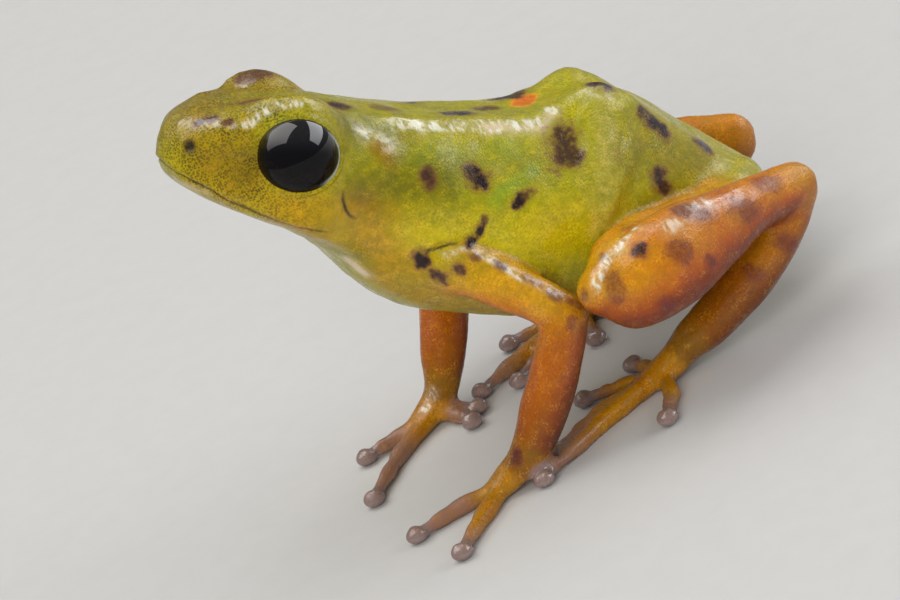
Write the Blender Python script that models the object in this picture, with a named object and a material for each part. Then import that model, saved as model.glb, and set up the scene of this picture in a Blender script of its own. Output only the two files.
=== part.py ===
"""Strawberry poison dart frog as a still, life-size model, sitting alert with its front raised.

Places and sizes are in millimetres until a mesh is made. +X points to the head, +Y to the frog's left
and +Z up. The floor is z = 0, and the origin lies on it under the middle of the frog. Each sub-part is
one closed solid. Neighbours meet face to face across a thin cut.
"""

import math

import bmesh
import bpy
import numpy as np

MM = 0.001
CUT = 0.3
EYE_GAP = 0.2
MIDDLE = (-3.232, -0.06)

EYE_RADIUS = 1.38
EYE_CENTRE = (2.85, 2.2, 13.1)
LID_CENTRE = (2.95, 1.95, 13.3)
LID_RADII = (2.0, 1.55, 1.87)
LID_EDGE = 0.2
LID_OPENING = (0.985, 0.86)
EYE_LOOKS = (0.12, 0.95, 0.28)
EYE_LONG_AXIS = (0.871, 0.0, 0.491)
NOSTRIL = (5.75, 1.3, 14.84)
NOSTRIL_RADIUS = 0.22
MOUTH_RADIUS = 0.14
MOUTH_CORNER_ROW = 13.1
NAPE_ROW = 11.6
NAPE_HALF_CUT = 0.14
RIDGE_HUMP = (-7.5, 1.45)
RIDGE_HUMP_SPREAD = (1.3, 0.9)
RIDGE_HUMP_RISE = 0.8
TRUNK_ROUNDNESS = 0.87
HEAD_SQUARENESS = 0.2
HEAD_SQUAREST_ROW = 15.5
HEAD_SQUARE_REACH = 3.0

# The trunk and head from vent to snout. Each row has a point on the back and the point across from it on
# the belly, both in the plane of symmetry (x, z), how far up from the belly the body is widest, and its
# half width there. On the head the widest level is the line of the mouth.
BODY_ROWS = [
    (-11.95, 3.55, -11.90, 2.95, 0.50, 0.45),
    (-11.50, 4.30, -11.30, 2.40, 0.50, 1.15),
    (-10.75, 5.45, -10.20, 2.05, 0.48, 1.70),
    (-9.80, 6.85, -8.90, 1.90, 0.46, 2.15),
    (-8.80, 8.30, -7.40, 1.95, 0.44, 2.60),
    (-7.70, 9.35, -5.90, 2.15, 0.44, 3.05),
    (-6.55, 9.85, -4.45, 2.55, 0.44, 3.45),
    (-5.25, 10.20, -3.05, 3.15, 0.44, 3.70),
    (-3.95, 10.70, -1.75, 3.85, 0.44, 3.72),
    (-2.60, 11.40, -0.40, 4.70, 0.44, 3.55),
    (-1.30, 12.15, 0.95, 5.60, 0.42, 3.25),
    (-0.15, 12.98, 2.05, 6.70, 0.38, 3.05),
    (0.90, 13.75, 2.75, 7.95, 0.32, 3.05),
    (1.85, 14.38, 3.20, 9.25, 0.24, 3.20),
    (2.70, 14.85, 3.88, 10.35, 0.17, 3.18),
    (3.50, 15.18, 4.65, 11.25, 0.14, 2.95),
    (4.20, 15.42, 5.40, 12.10, 0.13, 2.62),
    (4.85, 15.58, 5.98, 12.80, 0.14, 2.20),
    (5.45, 15.60, 6.40, 13.42, 0.16, 1.68),
    (5.95, 15.42, 6.62, 13.85, 0.20, 1.15),
    (6.35, 15.12, 6.68, 14.25, 0.35, 0.62),
]

# Limbs of the left side, as rows of a centre line's point (x, y, z), its half height and its half width.
LEFT_UPPER_ARM = [
    (0.05, 1.90, 7.70, 1.00, 0.95),
    (-0.06, 2.75, 7.52, 1.00, 0.90),
    (-0.57, 3.25, 7.02, 0.96, 0.80),
    (-1.04, 3.65, 6.48, 0.88, 0.78),
    (-1.76, 4.15, 5.68, 0.78, 0.75),
    (-2.54, 4.70, 4.65, 0.76, 0.76),
]
LEFT_FOREARM = [
    (-2.54, 4.70, 4.65, 0.74, 0.74),
    (-1.70, 4.80, 3.56, 0.83, 0.80),
    (-0.84, 4.85, 2.54, 0.83, 0.78),
    (0.15, 4.85, 1.46, 0.74, 0.70),
    (0.75, 4.80, 1.00, 0.64, 0.64),
]
LEFT_THIGH = [
    (-10.60, 0.90, 4.20, 1.00, 1.00),
    (-9.90, 2.00, 4.15, 1.15, 1.05),
    (-8.78, 2.85, 4.25, 1.20, 1.05),
    (-7.14, 3.65, 4.75, 1.20, 1.02),
    (-5.95, 4.30, 5.28, 1.10, 0.95),
    (-4.60, 5.15, 5.72, 0.86, 0.82),
]
LEFT_SHANK = [
    (-3.70, 6.20, 5.42, 0.92, 0.85),
    (-4.72, 6.20, 4.97, 1.45, 1.15),
    (-6.37, 5.90, 5.08, 1.62, 1.32),
    (-7.90, 5.30, 4.95, 1.35, 1.15),
    (-9.42, 4.60, 4.78, 1.05, 0.95),
    (-11.65, 3.62, 4.35, 0.80, 0.80),
]
LEFT_TARSUS = [
    (-11.62, 3.55, 4.05, 0.78, 0.78),
    (-10.05, 3.42, 2.62, 0.84, 0.84),
    (-8.75, 3.32, 1.93, 0.86, 0.84),
    (-7.45, 3.20, 1.32, 0.80, 0.80),
    (-6.35, 3.10, 1.02, 0.70, 0.74),
]
RIGHT_UPPER_ARM = [
    (0.05, -1.90, 7.70, 1.00, 0.95),
    (-0.06, -2.75, 7.52, 1.00, 0.90),
    (-0.55, -3.45, 7.00, 0.96, 0.80),
    (-1.05, -4.20, 6.40, 0.88, 0.78),
    (-1.50, -4.90, 5.78, 0.78, 0.75),
    (-1.95, -5.60, 5.15, 0.76, 0.76),
]
RIGHT_FOREARM = [
    (-1.95, -5.60, 5.15, 0.74, 0.74),
    (-1.30, -5.20, 4.15, 0.85, 0.85),
    (-0.60, -4.70, 3.00, 0.85, 0.85),
    (0.10, -4.25, 1.95, 0.78, 0.78),
    (0.60, -3.95, 1.15, 0.66, 0.66),
]
RIGHT_THIGH = [
    (-10.60, -0.90, 4.20, 1.00, 1.00),
    (-9.90, -2.00, 4.15, 1.15, 1.05),
    (-8.80, -2.95, 4.25, 1.20, 1.05),
    (-7.30, -3.90, 4.75, 1.20, 1.02),
    (-6.20, -4.75, 5.25, 1.10, 0.95),
    (-5.00, -5.65, 5.62, 0.86, 0.82),
]
RIGHT_SHANK = [
    (-4.20, -6.70, 5.30, 0.92, 0.85),
    (-5.20, -6.65, 4.92, 1.45, 1.15),
    (-6.90, -6.25, 4.96, 1.62, 1.32),
    (-8.50, -5.60, 4.75, 1.35, 1.15),
    (-10.10, -4.90, 4.45, 1.05, 0.95),
    (-12.35, -4.00, 3.95, 0.80, 0.80),
]
RIGHT_TARSUS = [
    (-12.30, -3.95, 3.68, 0.78, 0.78),
    (-10.75, -4.45, 2.58, 0.84, 0.84),
    (-9.35, -4.95, 1.95, 0.86, 0.84),
    (-7.70, -5.45, 1.35, 0.80, 0.80),
    (-6.55, -5.80, 1.05, 0.70, 0.74),
]

# Palms, soles and digits: a palm's or sole's rows are like a limb's. A digit is its root, a bend on the
# way and its tip, and its half thickness at the root.
LEFT_PALM = [(0.80, 4.78, 0.92, 0.58, 0.58), (1.50, 4.50, 0.52, 0.50, 0.66), (2.05, 4.45, 0.34, 0.34, 0.60)]
LEFT_FINGERS = [
    ((1.50, 4.30, 0.34), (0.75, 3.75, 0.26), (-0.35, 3.35, 0.28), 0.30),
    ((1.60, 4.30, 0.34), (1.10, 3.45, 0.26), (0.40, 2.60, 0.28), 0.30),
    ((1.90, 4.35, 0.32), (3.30, 4.15, 0.26), (5.05, 4.37, 0.28), 0.33),
    ((1.90, 4.65, 0.32), (3.05, 5.75, 0.26), (4.45, 7.35, 0.28), 0.33),
]
RIGHT_PALM = [(0.66, -3.92, 1.02, 0.58, 0.58), (1.25, -3.95, 0.55, 0.50, 0.66), (1.95, -3.70, 0.34, 0.34, 0.60)]
RIGHT_FINGERS = [
    ((1.10, -3.80, 0.34), (0.55, -3.30, 0.26), (0.10, -2.70, 0.28), 0.30),
    ((1.15, -3.75, 0.34), (0.80, -2.80, 0.26), (0.63, -1.85, 0.28), 0.30),
    ((1.75, -3.55, 0.32), (3.30, -2.35, 0.26), (5.10, -0.10, 0.28), 0.33),
    ((1.80, -3.80, 0.32), (2.90, -3.72, 0.26), (4.15, -3.60, 0.28), 0.33),
]
LEFT_SOLE = [(-6.25, 3.08, 0.96, 0.58, 0.60), (-5.40, 2.95, 0.56, 0.52, 0.68), (-4.55, 2.90, 0.36, 0.36, 0.62)]
LEFT_TOES = [
    ((-5.15, 2.65, 0.36), (-4.95, 1.60, 0.26), (-4.75, 0.75, 0.28), 0.30),
    ((-4.85, 2.70, 0.34), (-3.90, 1.95, 0.26), (-2.60, 1.30, 0.28), 0.30),
    ((-4.65, 2.80, 0.34), (-2.60, 3.05, 0.27), (-0.45, 4.10, 0.28), 0.33),
    ((-4.65, 3.00, 0.34), (-2.30, 3.75, 0.27), (0.60, 5.45, 0.28), 0.36),
    ((-5.00, 3.20, 0.34), (-4.70, 4.55, 0.26), (-3.90, 6.05, 0.28), 0.32),
]
RIGHT_SOLE = [(-6.45, -5.85, 0.98, 0.58, 0.60), (-5.65, -5.80, 0.56, 0.52, 0.68), (-4.95, -5.50, 0.36, 0.36, 0.62)]
RIGHT_TOES = [
    ((-5.45, -5.50, 0.36), (-5.90, -4.75, 0.26), (-6.30, -4.00, 0.28), 0.30),
    ((-5.15, -5.45, 0.34), (-4.95, -4.20, 0.26), (-4.75, -2.95, 0.28), 0.30),
    ((-5.00, -5.40, 0.34), (-3.30, -4.10, 0.27), (-1.70, -2.95, 0.28), 0.33),
    ((-5.00, -5.60, 0.34), (-2.80, -4.75, 0.27), (-0.50, -3.75, 0.28), 0.36),
    ((-5.30, -5.90, 0.34), (-3.90, -6.10, 0.26), (-2.60, -6.35, 0.28), 0.32),
]
DIGIT_TIP = 0.43


def smooth_rows(rows, at):
    """Catmull-Rom curve through rows of numbers, read at the row positions in at, with the ends held."""
    rows = np.asarray(rows, float)
    at = np.asarray(at, float)
    i = np.clip(np.floor(at).astype(int), 0, len(rows) - 2)
    t = (at - i)[:, None]
    before = rows[np.clip(i - 1, 0, None)]
    start = rows[i]
    end = rows[i + 1]
    after = rows[np.clip(i + 2, None, len(rows) - 1)]
    return 0.5 * (
        2 * start
        + (end - before) * t
        + (2 * before - 5 * start + 4 * end - after) * t**2
        + (3 * start - before - 3 * end + after) * t**3
    )


def object_of(name, points, faces):
    """A smooth shaded mesh object from points in millimetres, with the frog's middle over the origin."""
    shifted = (np.asarray(points, float) - (*MIDDLE, 0.0)) * MM
    mesh = bpy.data.meshes.new(name)
    mesh.from_pydata(shifted.tolist(), [], faces)
    mesh.shade_smooth()
    made = bpy.data.objects.new(name, mesh)
    bpy.context.scene.collection.objects.link(made)
    return made


def closed_loft(name, rings, first, last):
    """A closed skin over equal rings of points, with an end point before them and one after them."""
    count, around = len(rings), len(rings[0])
    tail, nose = count * around, count * around + 1
    faces = []
    for a in range(around):
        b = (a + 1) % around
        for r in range(count - 1):
            faces.append((r * around + a, r * around + b, (r + 1) * around + b, (r + 1) * around + a))
        faces.append((tail, b, a))
        faces.append((nose, (count - 1) * around + a, (count - 1) * around + b))
    made = object_of(name, np.concatenate([np.reshape(rings, (-1, 3)), [first, last]]), faces)
    face_outwards(made)
    return made


def hoop(name, line, outward, half):
    """A closed hoop of even thickness along a closed line, with the outward direction at each point."""
    count, around = len(line), 8
    along = np.roll(line, -1, axis=0) - np.roll(line, 1, axis=0)
    side = np.cross(along, outward)
    side /= np.linalg.norm(side, axis=1, keepdims=True)
    angle = np.linspace(0, 2 * math.pi, around, endpoint=False)[None, :, None]
    points = line[:, None] + half * (outward[:, None] * np.cos(angle) + side[:, None] * np.sin(angle))
    faces = []
    for r in range(count):
        for a in range(around):
            b, n = (a + 1) % around, (r + 1) % count
            faces.append((r * around + a, r * around + b, n * around + b, n * around + a))
    made = object_of(name, points.reshape(-1, 3), faces)
    face_outwards(made)
    return made


def face_outwards(piece):
    """Turns a closed mesh's faces so that its volume is positive."""
    mesh = bmesh.new()
    mesh.from_mesh(piece.data)
    bmesh.ops.recalc_face_normals(mesh, faces=mesh.faces)
    if mesh.calc_volume(signed=True) < 0:
        bmesh.ops.reverse_faces(mesh, faces=mesh.faces)
    mesh.to_mesh(piece.data)
    mesh.free()


def body_rings(at, around):
    """Superellipse rings of the trunk and head at the row positions in at, squarer above than below."""
    rows = smooth_rows(BODY_ROWS, at)
    top, belly = rows[:, 0:2], rows[:, 2:4]
    level, wide = rows[:, 4:5], rows[:, 5:6]
    middle = belly + (top - belly) * level
    angle = np.linspace(0, 2 * math.pi, around, endpoint=False)[None, :]
    square = np.exp(-(((np.asarray(at) - HEAD_SQUAREST_ROW) / HEAD_SQUARE_REACH) ** 2))[:, None]
    power = TRUNK_ROUNDNESS - HEAD_SQUARENESS * square
    side, rise = np.cos(angle), np.sin(angle)
    upper = rise > 0
    side = np.where(upper, np.sign(side) * np.abs(side) ** power, side)
    rise = np.where(upper, np.abs(rise) ** power, rise)
    reach = np.where(upper[..., None], (top - middle)[:, None, :], (middle - belly)[:, None, :])
    sagittal = middle[:, None, :] + reach * rise[..., None]
    x, y, z = sagittal[..., 0], wide * side, sagittal[..., 1]
    ahead = (x - RIDGE_HUMP[0]) / RIDGE_HUMP_SPREAD[0]
    aside = (np.abs(y) - RIDGE_HUMP[1]) / RIDGE_HUMP_SPREAD[1]
    z = z + RIDGE_HUMP_RISE * np.exp(-(ahead**2) - aside**2) * np.clip(rise * 3, 0, 1)
    return np.stack([x, y, z], axis=-1)


def body_length(name, start, end, rings, around):
    """One length of the body between two row positions, closed by shallow caps."""
    points = body_rings(np.linspace(start, end, rings), around)
    first = points[0].mean(axis=0)
    last = points[-1].mean(axis=0)
    if start == 0:
        first = first + (-0.12, 0.0, 0.0)
    if end == len(BODY_ROWS) - 1:
        last = last + (0.1, 0.0, 0.03)
    return closed_loft(name, points, first, last)


def tube(name, rows, rings=12, around=12):
    """A round-ended tube along a smooth centre line, with its own half height and half width all along."""
    rows = smooth_rows(rows, np.linspace(0, len(rows) - 1, rings))
    centre, high, wide = rows[:, 0:3], rows[:, 3:4], rows[:, 4:5]
    forward = np.gradient(centre, axis=0)
    forward /= np.linalg.norm(forward, axis=1, keepdims=True)
    cap = np.radians([72, 40])
    lead = centre[:1] - forward[:1] * high[0] * np.sin(cap)[:, None]
    trail = centre[-1:] + forward[-1:] * high[-1] * np.sin(cap[::-1])[:, None]
    shrink = np.cos(cap)[:, None]
    centre = np.concatenate([lead, centre, trail])
    high = np.concatenate([high[0] * shrink, high, high[-1] * shrink[::-1]])
    wide = np.concatenate([wide[0] * shrink, wide, wide[-1] * shrink[::-1]])
    tips = np.array([rows[0, :3] - forward[0] * rows[0, 3], rows[-1, :3] + forward[-1] * rows[-1, 3]])
    forward = np.concatenate([forward[:1], forward[:1], forward, forward[-1:], forward[-1:]])
    side = np.cross(forward, (0.0, 0.0, 1.0))
    side /= np.linalg.norm(side, axis=1, keepdims=True)
    up = np.cross(side, forward)
    angle = np.linspace(0, 2 * math.pi, around, endpoint=False)[None, :, None]
    spread = side[:, None] * wide[:, None] * np.cos(angle) + up[:, None] * high[:, None] * np.sin(angle)
    return closed_loft(name, centre[:, None] + spread, tips[0], tips[1])


def ball(name, centre, radii, around=20, rings=10):
    """An ellipsoid, as a loft of rings along X."""
    turn = np.linspace(0, math.pi, rings + 2)[1:-1]
    angle = np.linspace(0, 2 * math.pi, around, endpoint=False)
    x = np.repeat(-np.cos(turn)[:, None], around, axis=1)
    y = np.sin(turn)[:, None] * np.cos(angle)
    z = np.sin(turn)[:, None] * np.sin(angle)
    points = np.stack([x, y, z], axis=-1) * radii + centre
    reach = np.array([radii[0], 0.0, 0.0])
    return closed_loft(name, points, centre - reach, centre + reach)


def digit(name, root, bend, tip, half):
    """A finger or toe: slim, with a rounded disc at its tip."""
    root, bend, tip = (np.array(p, float) for p in (root, bend, tip))
    neck = tip + (bend - tip) * 0.28
    rows = [
        (*root, half, half),
        (*(root + bend) / 2, half * 0.94, half * 0.94),
        (*bend, half * 0.88, half * 0.9),
        (*neck, 0.28, 0.27),
        (*(tip + (neck - tip) * 0.15), 0.33, DIGIT_TIP),
    ]
    return tube(name, rows, rings=7, around=8)


def apply_boolean(piece, others, operation):
    """Joins other objects to a piece, or cuts them out of it, then removes them."""
    group = bpy.data.collections.new(piece.name + "_group")
    for other in others:
        group.objects.link(other)
    change = piece.modifiers.new("join", "BOOLEAN")
    change.operation = operation
    change.operand_type = "COLLECTION"
    change.collection = group
    change.solver = "EXACT"
    view = bpy.context.evaluated_depsgraph_get()
    result = bpy.data.meshes.new_from_object(piece.evaluated_get(view))
    piece.modifiers.clear()
    piece.data = result
    for other in others:
        bpy.data.objects.remove(other)
    bpy.data.collections.remove(group)
    keep_largest(piece)


def keep_largest(piece):
    """Removes all but the surface with the most faces, after merging points that coincide."""
    mesh = bmesh.new()
    mesh.from_mesh(piece.data)
    bmesh.ops.remove_doubles(mesh, verts=mesh.verts, dist=1e-6)
    left = set(mesh.verts)
    groups = []
    while left:
        group = [left.pop()]
        for vert in group:
            for edge in vert.link_edges:
                other = edge.other_vert(vert)
                if other in left:
                    left.remove(other)
                    group.append(other)
        groups.append(group)
    groups.sort(key=len)
    for group in groups[:-1]:
        bmesh.ops.delete(mesh, geom=group, context="VERTS")
    mesh.to_mesh(piece.data)
    mesh.free()


def grown(piece, by):
    """A copy of a piece, larger by a distance in millimetres on every side."""
    mesh = bmesh.new()
    mesh.from_mesh(piece.data)
    mesh.normal_update()
    moves = [(vert, vert.normal * by * MM) for vert in mesh.verts]
    for vert, move in moves:
        vert.co += move
    data = bpy.data.meshes.new(piece.name + "_grown")
    mesh.to_mesh(data)
    mesh.free()
    made = bpy.data.objects.new(piece.name + "_grown", data)
    bpy.context.scene.collection.objects.link(made)
    return made


def beside(piece, *neighbours):
    """Cuts a piece back from its neighbours, which leaves the thin cut between them."""
    for neighbour in neighbours:
        apply_boolean(piece, [grown(neighbour, CUT)], "DIFFERENCE")
    return piece


def rest_on_floor(piece):
    """Cuts off what lies below the floor, which leaves a small flat."""
    low, high = -2.0, 0.0
    corners = [(x, y, z) for z in (low, high) for x, y in ((-20, -20), (20, -20), (20, 20), (-20, 20))]
    faces = [(3, 2, 1, 0), (4, 5, 6, 7), (0, 1, 5, 4), (1, 2, 6, 5), (2, 3, 7, 6), (3, 0, 4, 7)]
    apply_boolean(piece, [object_of("below", corners, faces)], "DIFFERENCE")


def paint(piece, colour, roughness):
    """Gives a piece its own material."""
    material = bpy.data.materials.new(piece.name)
    material.use_nodes = True
    shader = material.node_tree.nodes["Principled BSDF"]
    shader.inputs["Base Color"].default_value = (*colour, 1.0)
    shader.inputs["Roughness"].default_value = roughness
    shader.inputs["Metallic"].default_value = 0.0
    piece.data.materials.clear()
    piece.data.materials.append(material)


def mouth_cutter():
    """A thin closed ring along the widest line of the head, from corner to corner round the snout."""
    last = len(BODY_ROWS) - 1
    at = np.linspace(MOUTH_CORNER_ROW, last, 16)
    left = body_rings(at, 4)[:, 0]
    tip = left[-1] * (1, 0, 1) + (0.08, 0.0, 0.0)
    line = np.concatenate([left, [tip], left[::-1] * (1, -1, 1)])
    rows = [(*point, MOUTH_RADIUS, MOUTH_RADIUS) for point in line]
    return tube("mouth", rows, rings=35, around=6)


def lid_edge(side):
    """The lids' round edge: a hoop on the eyeball, farther out at its top and bottom than at its corners."""
    look = np.array(EYE_LOOKS) / np.linalg.norm(EYE_LOOKS)
    corner = np.array(EYE_LONG_AXIS) - look * np.dot(EYE_LONG_AXIS, look)
    corner /= np.linalg.norm(corner)
    up = np.cross(corner, look)
    turn = np.linspace(0, 2 * math.pi, 32, endpoint=False)[:, None]
    wide = LID_OPENING[0] * np.cos(turn)
    high = LID_OPENING[1] * np.sin(turn)
    outward = wide * corner + high * up + np.sqrt(1 - wide**2 - high**2) * look
    line = EYE_CENTRE + outward * (EYE_RADIUS + EYE_GAP + LID_EDGE / 2)
    return hoop("lid_edge", line * (1, side, 1), outward * (1, side, 1), LID_EDGE)


def make_head():
    head = body_length("head", NAPE_ROW + NAPE_HALF_CUT, len(BODY_ROWS) - 1, 24, 32)
    lids = [ball("lid", np.array(LID_CENTRE) * (1, s, 1), LID_RADII) for s in (1, -1)]
    apply_boolean(head, lids + [lid_edge(s) for s in (1, -1)], "UNION")
    socket = (EYE_RADIUS + EYE_GAP,) * 3
    sockets = [ball("socket", np.array(EYE_CENTRE) * (1, s, 1), socket, 28, 15) for s in (1, -1)]
    apply_boolean(head, sockets, "DIFFERENCE")
    pit = (NOSTRIL_RADIUS,) * 3
    pits = [ball("pit", np.array(NOSTRIL) * (1, s, 1), pit, 8, 5) for s in (1, -1)]
    apply_boolean(head, pits, "DIFFERENCE")
    apply_boolean(head, [mouth_cutter()], "DIFFERENCE")
    return head


def make_paw(name, palm, digits, limb):
    """A hand or foot: a palm or sole with its digits, flat where it rests, cut back from its limb."""
    paw = tube(name, palm, rings=6, around=10)
    apply_boolean(paw, [digit("digit", *points) for points in digits], "UNION")
    rest_on_floor(paw)
    return beside(paw, limb)


for old in list(bpy.data.objects):
    bpy.data.objects.remove(old)

OLIVE = (0.36, 0.33, 0.012)
GOLD = (0.42, 0.30, 0.012)
ORANGE = (0.50, 0.19, 0.012)
GREY = (0.30, 0.19, 0.09)
BLACK = (0.006, 0.006, 0.009)

torso = body_length("torso", 0, NAPE_ROW - NAPE_HALF_CUT, 28, 32)
head = make_head()
paint(torso, OLIVE, 0.35)
paint(head, GOLD, 0.35)

for side, sign in (("left", 1), ("right", -1)):
    eye = ball("eye_" + side, np.array(EYE_CENTRE) * (1, sign, 1), (EYE_RADIUS,) * 3, 16, 9)
    paint(eye, BLACK, 0.05)

arms = {
    "left": (LEFT_UPPER_ARM, LEFT_FOREARM, LEFT_PALM, LEFT_FINGERS),
    "right": (RIGHT_UPPER_ARM, RIGHT_FOREARM, RIGHT_PALM, RIGHT_FINGERS),
}
for side, (upper_rows, fore_rows, palm, fingers) in arms.items():
    upper = beside(tube("upper_arm_" + side, upper_rows), torso)
    fore = beside(tube("forearm_" + side, fore_rows), upper)
    hand = make_paw("hand_" + side, palm, fingers, fore)
    paint(upper, GOLD, 0.35)
    paint(fore, ORANGE, 0.35)
    paint(hand, GREY, 0.35)

legs = {
    "left": (LEFT_THIGH, LEFT_SHANK, LEFT_TARSUS, LEFT_SOLE, LEFT_TOES),
    "right": (RIGHT_THIGH, RIGHT_SHANK, RIGHT_TARSUS, RIGHT_SOLE, RIGHT_TOES),
}
for side, (thigh_rows, shank_rows, tarsus_rows, sole, toes) in legs.items():
    thigh = beside(tube("thigh_" + side, thigh_rows), torso)
    shank = beside(tube("shank_" + side, shank_rows, rings=14), thigh, torso)
    tarsus = beside(tube("tarsus_" + side, tarsus_rows), shank, thigh)
    foot = make_paw("foot_" + side, sole, toes, tarsus)
    paint(thigh, ORANGE, 0.35)
    paint(shank, ORANGE, 0.35)
    paint(tarsus, GOLD, 0.35)
    paint(foot, GREY, 0.35)
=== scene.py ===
"""A strawberry poison dart frog, life size and still, sitting alert with its front raised.

The frog is drawn in millimetres: +X to its head, +Y to its left, +Z up, and the floor is z = 0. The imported
model has the middle of the frog over its origin, so each finished mesh is moved there and made metres.
"""

import math

import bmesh
import bpy
import mathutils
import numpy as np
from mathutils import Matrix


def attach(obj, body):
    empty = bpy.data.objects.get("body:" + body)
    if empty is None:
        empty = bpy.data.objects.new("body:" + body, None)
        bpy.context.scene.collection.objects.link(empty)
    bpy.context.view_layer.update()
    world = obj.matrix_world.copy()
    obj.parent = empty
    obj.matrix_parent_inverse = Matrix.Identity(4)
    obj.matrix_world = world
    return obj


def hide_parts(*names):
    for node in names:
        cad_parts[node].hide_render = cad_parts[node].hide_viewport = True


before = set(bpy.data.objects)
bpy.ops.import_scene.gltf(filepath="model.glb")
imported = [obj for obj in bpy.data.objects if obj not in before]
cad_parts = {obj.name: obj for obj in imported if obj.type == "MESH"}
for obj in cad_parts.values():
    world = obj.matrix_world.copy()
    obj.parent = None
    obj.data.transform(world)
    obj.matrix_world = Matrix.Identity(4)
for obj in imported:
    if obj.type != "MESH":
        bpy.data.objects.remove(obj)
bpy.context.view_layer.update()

# The trunk and head.
# In life one bag of thin, moist skin over the body, without a seam. Each row goes across it, from the vent
# to the snout, and the surface runs smoothly through the rows.
MM = 0.001
MIDDLE = np.array((-3.232, -0.06, 0.0))
# Each row has a point on the back and the point across from it on the belly, both in the plane of symmetry
# (x, z), how far up from the belly the body is widest, and its half width there.
BODY_ROWS = [
    (-11.95, 3.55, -11.9, 2.95, 0.5, 0.45),
    (-11.5, 4.3, -11.3, 2.4, 0.5, 1.15),
    (-10.75, 5.45, -10.2, 2.05, 0.48, 1.7),
    (-9.8, 6.85, -8.9, 1.9, 0.46, 2.15),
    (-8.8, 8.3, -7.4, 1.95, 0.44, 2.6),
    (-7.7, 9.35, -5.9, 2.15, 0.44, 3.05),
    (-6.55, 9.85, -4.45, 2.55, 0.44, 3.45),
    (-5.25, 10.2, -3.05, 3.15, 0.44, 3.7),
    (-3.95, 10.7, -1.75, 3.85, 0.44, 3.72),
    (-2.6, 11.4, -0.4, 4.7, 0.44, 3.55),
    (-1.3, 12.15, 0.95, 5.6, 0.42, 3.25),
    (-0.15, 12.98, 2.05, 6.7, 0.38, 3.05),
    (0.9, 13.75, 2.75, 7.95, 0.32, 3.05),
    (1.85, 14.38, 3.2, 9.25, 0.24, 3.2),
    (2.7, 14.85, 3.88, 10.35, 0.17, 3.18),
    (3.5, 15.18, 4.65, 11.25, 0.14, 2.95),
    (4.2, 15.42, 5.4, 12.1, 0.13, 2.62),
    (4.85, 15.58, 5.98, 12.8, 0.14, 2.2),
    (5.45, 15.6, 6.4, 13.42, 0.16, 1.68),
    (5.95, 15.42, 6.62, 13.85, 0.2, 1.15),
    (6.35, 15.12, 6.68, 14.25, 0.35, 0.62),
]
RIDGE_HUMP = (-7.5, 1.45)
RIDGE_HUMP_SPREAD = (1.3, 0.9)
RIDGE_HUMP_RISE = 0.8
ROUNDNESS = 0.87
HEAD_SQUARENESS = 0.2
HEAD_ROW = 15.5
HEAD_SPREAD = 3.0
BODY_RINGS = 161
BODY_AROUND = 112
VENT_TIP = (-0.12, 0.0, 0.0)
SNOUT_TIP = (0.1, 0.0, 0.03)


def smooth_rows(rows, at):
    """Catmull-Rom curve through rows of numbers, read at the row positions in at, with the ends held."""
    rows = np.asarray(rows, float)
    at = np.asarray(at, float)
    i = np.clip(np.floor(at).astype(int), 0, len(rows) - 2)
    t = (at - i)[:, None]
    before = rows[np.clip(i - 1, 0, None)]
    start = rows[i]
    end = rows[i + 1]
    after = rows[np.clip(i + 2, None, len(rows) - 1)]
    return 0.5 * (
        2 * start
        + (end - before) * t
        + (2 * before - 5 * start + 4 * end - after) * t**2
        + (3 * start - before - 3 * end + after) * t**3
    )


def body_surface(at, turn):
    """The body's surface at row positions and turns about its length, one ring of points for each row.

    A ring is a superellipse whose half width is the row's, and whose height differs above and below the
    widest level. It is squarer on the head. Two humps over the hips are added to its height.
    """
    rows = smooth_rows(BODY_ROWS, at)
    top, belly = rows[:, 0:2], rows[:, 2:4]
    level, wide = rows[:, 4:5], rows[:, 5:6]
    middle = belly + (top - belly) * level
    power = ROUNDNESS - HEAD_SQUARENESS * np.exp(-(((np.asarray(at) - HEAD_ROW) / HEAD_SPREAD) ** 2))[:, None]
    side, rise = np.cos(turn)[None, :], np.sin(turn)[None, :]
    upper = rise > 0
    side = np.where(upper, np.sign(side) * np.abs(side) ** power, side)
    rise = np.where(upper, np.abs(rise) ** power, rise)
    reach = np.where(upper[..., None], (top - middle)[:, None, :], (middle - belly)[:, None, :])
    sagittal = middle[:, None, :] + reach * rise[..., None]
    x, y, z = sagittal[..., 0], wide * side, sagittal[..., 1]
    hump = np.exp(-(((x - RIDGE_HUMP[0]) / RIDGE_HUMP_SPREAD[0]) ** 2)
                  - ((np.abs(y) - RIDGE_HUMP[1]) / RIDGE_HUMP_SPREAD[1]) ** 2)
    z = z + RIDGE_HUMP_RISE * hump * np.clip(rise * 3, 0, 1)
    return np.stack([x, y, z], axis=-1)


def ring_quads(count, around):
    """Quads between neighbouring rings of points, where each ring is closed."""
    r, a = np.meshgrid(np.arange(count - 1), np.arange(around), indexing="ij")
    b = (a + 1) % around
    quads = np.stack([r * around + a, r * around + b, (r + 1) * around + b, (r + 1) * around + a], -1)
    return quads.reshape(-1, 4)


def closed_rings(rings, first, last):
    """The rings with a ring drawn together at a point before them and one after them."""
    around = rings.shape[1]
    ends = [np.repeat(np.asarray(p, float)[None, None], around, axis=1) for p in (first, last)]
    return np.concatenate([ends[0], rings, ends[1]])


def full_turn(around):
    """Evenly spaced turns round a full circle."""
    return np.linspace(0, 2 * math.pi, around, endpoint=False)


flesh = []
rings = body_surface(np.linspace(0, len(BODY_ROWS) - 1, BODY_RINGS), full_turn(BODY_AROUND))
vent = rings[0].mean(axis=0) + VENT_TIP
snout = rings[-1].mean(axis=0) + SNOUT_TIP
flesh.append(closed_rings(rings, vent, snout))

# The lids.
# The skin stands up in a mound over and round each eye, and thins to a rim that lies on the eyeball.
LID_CENTRE = (2.95, 1.95, 13.3)
LID_RADII = (2.0, 1.55, 1.87)


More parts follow.
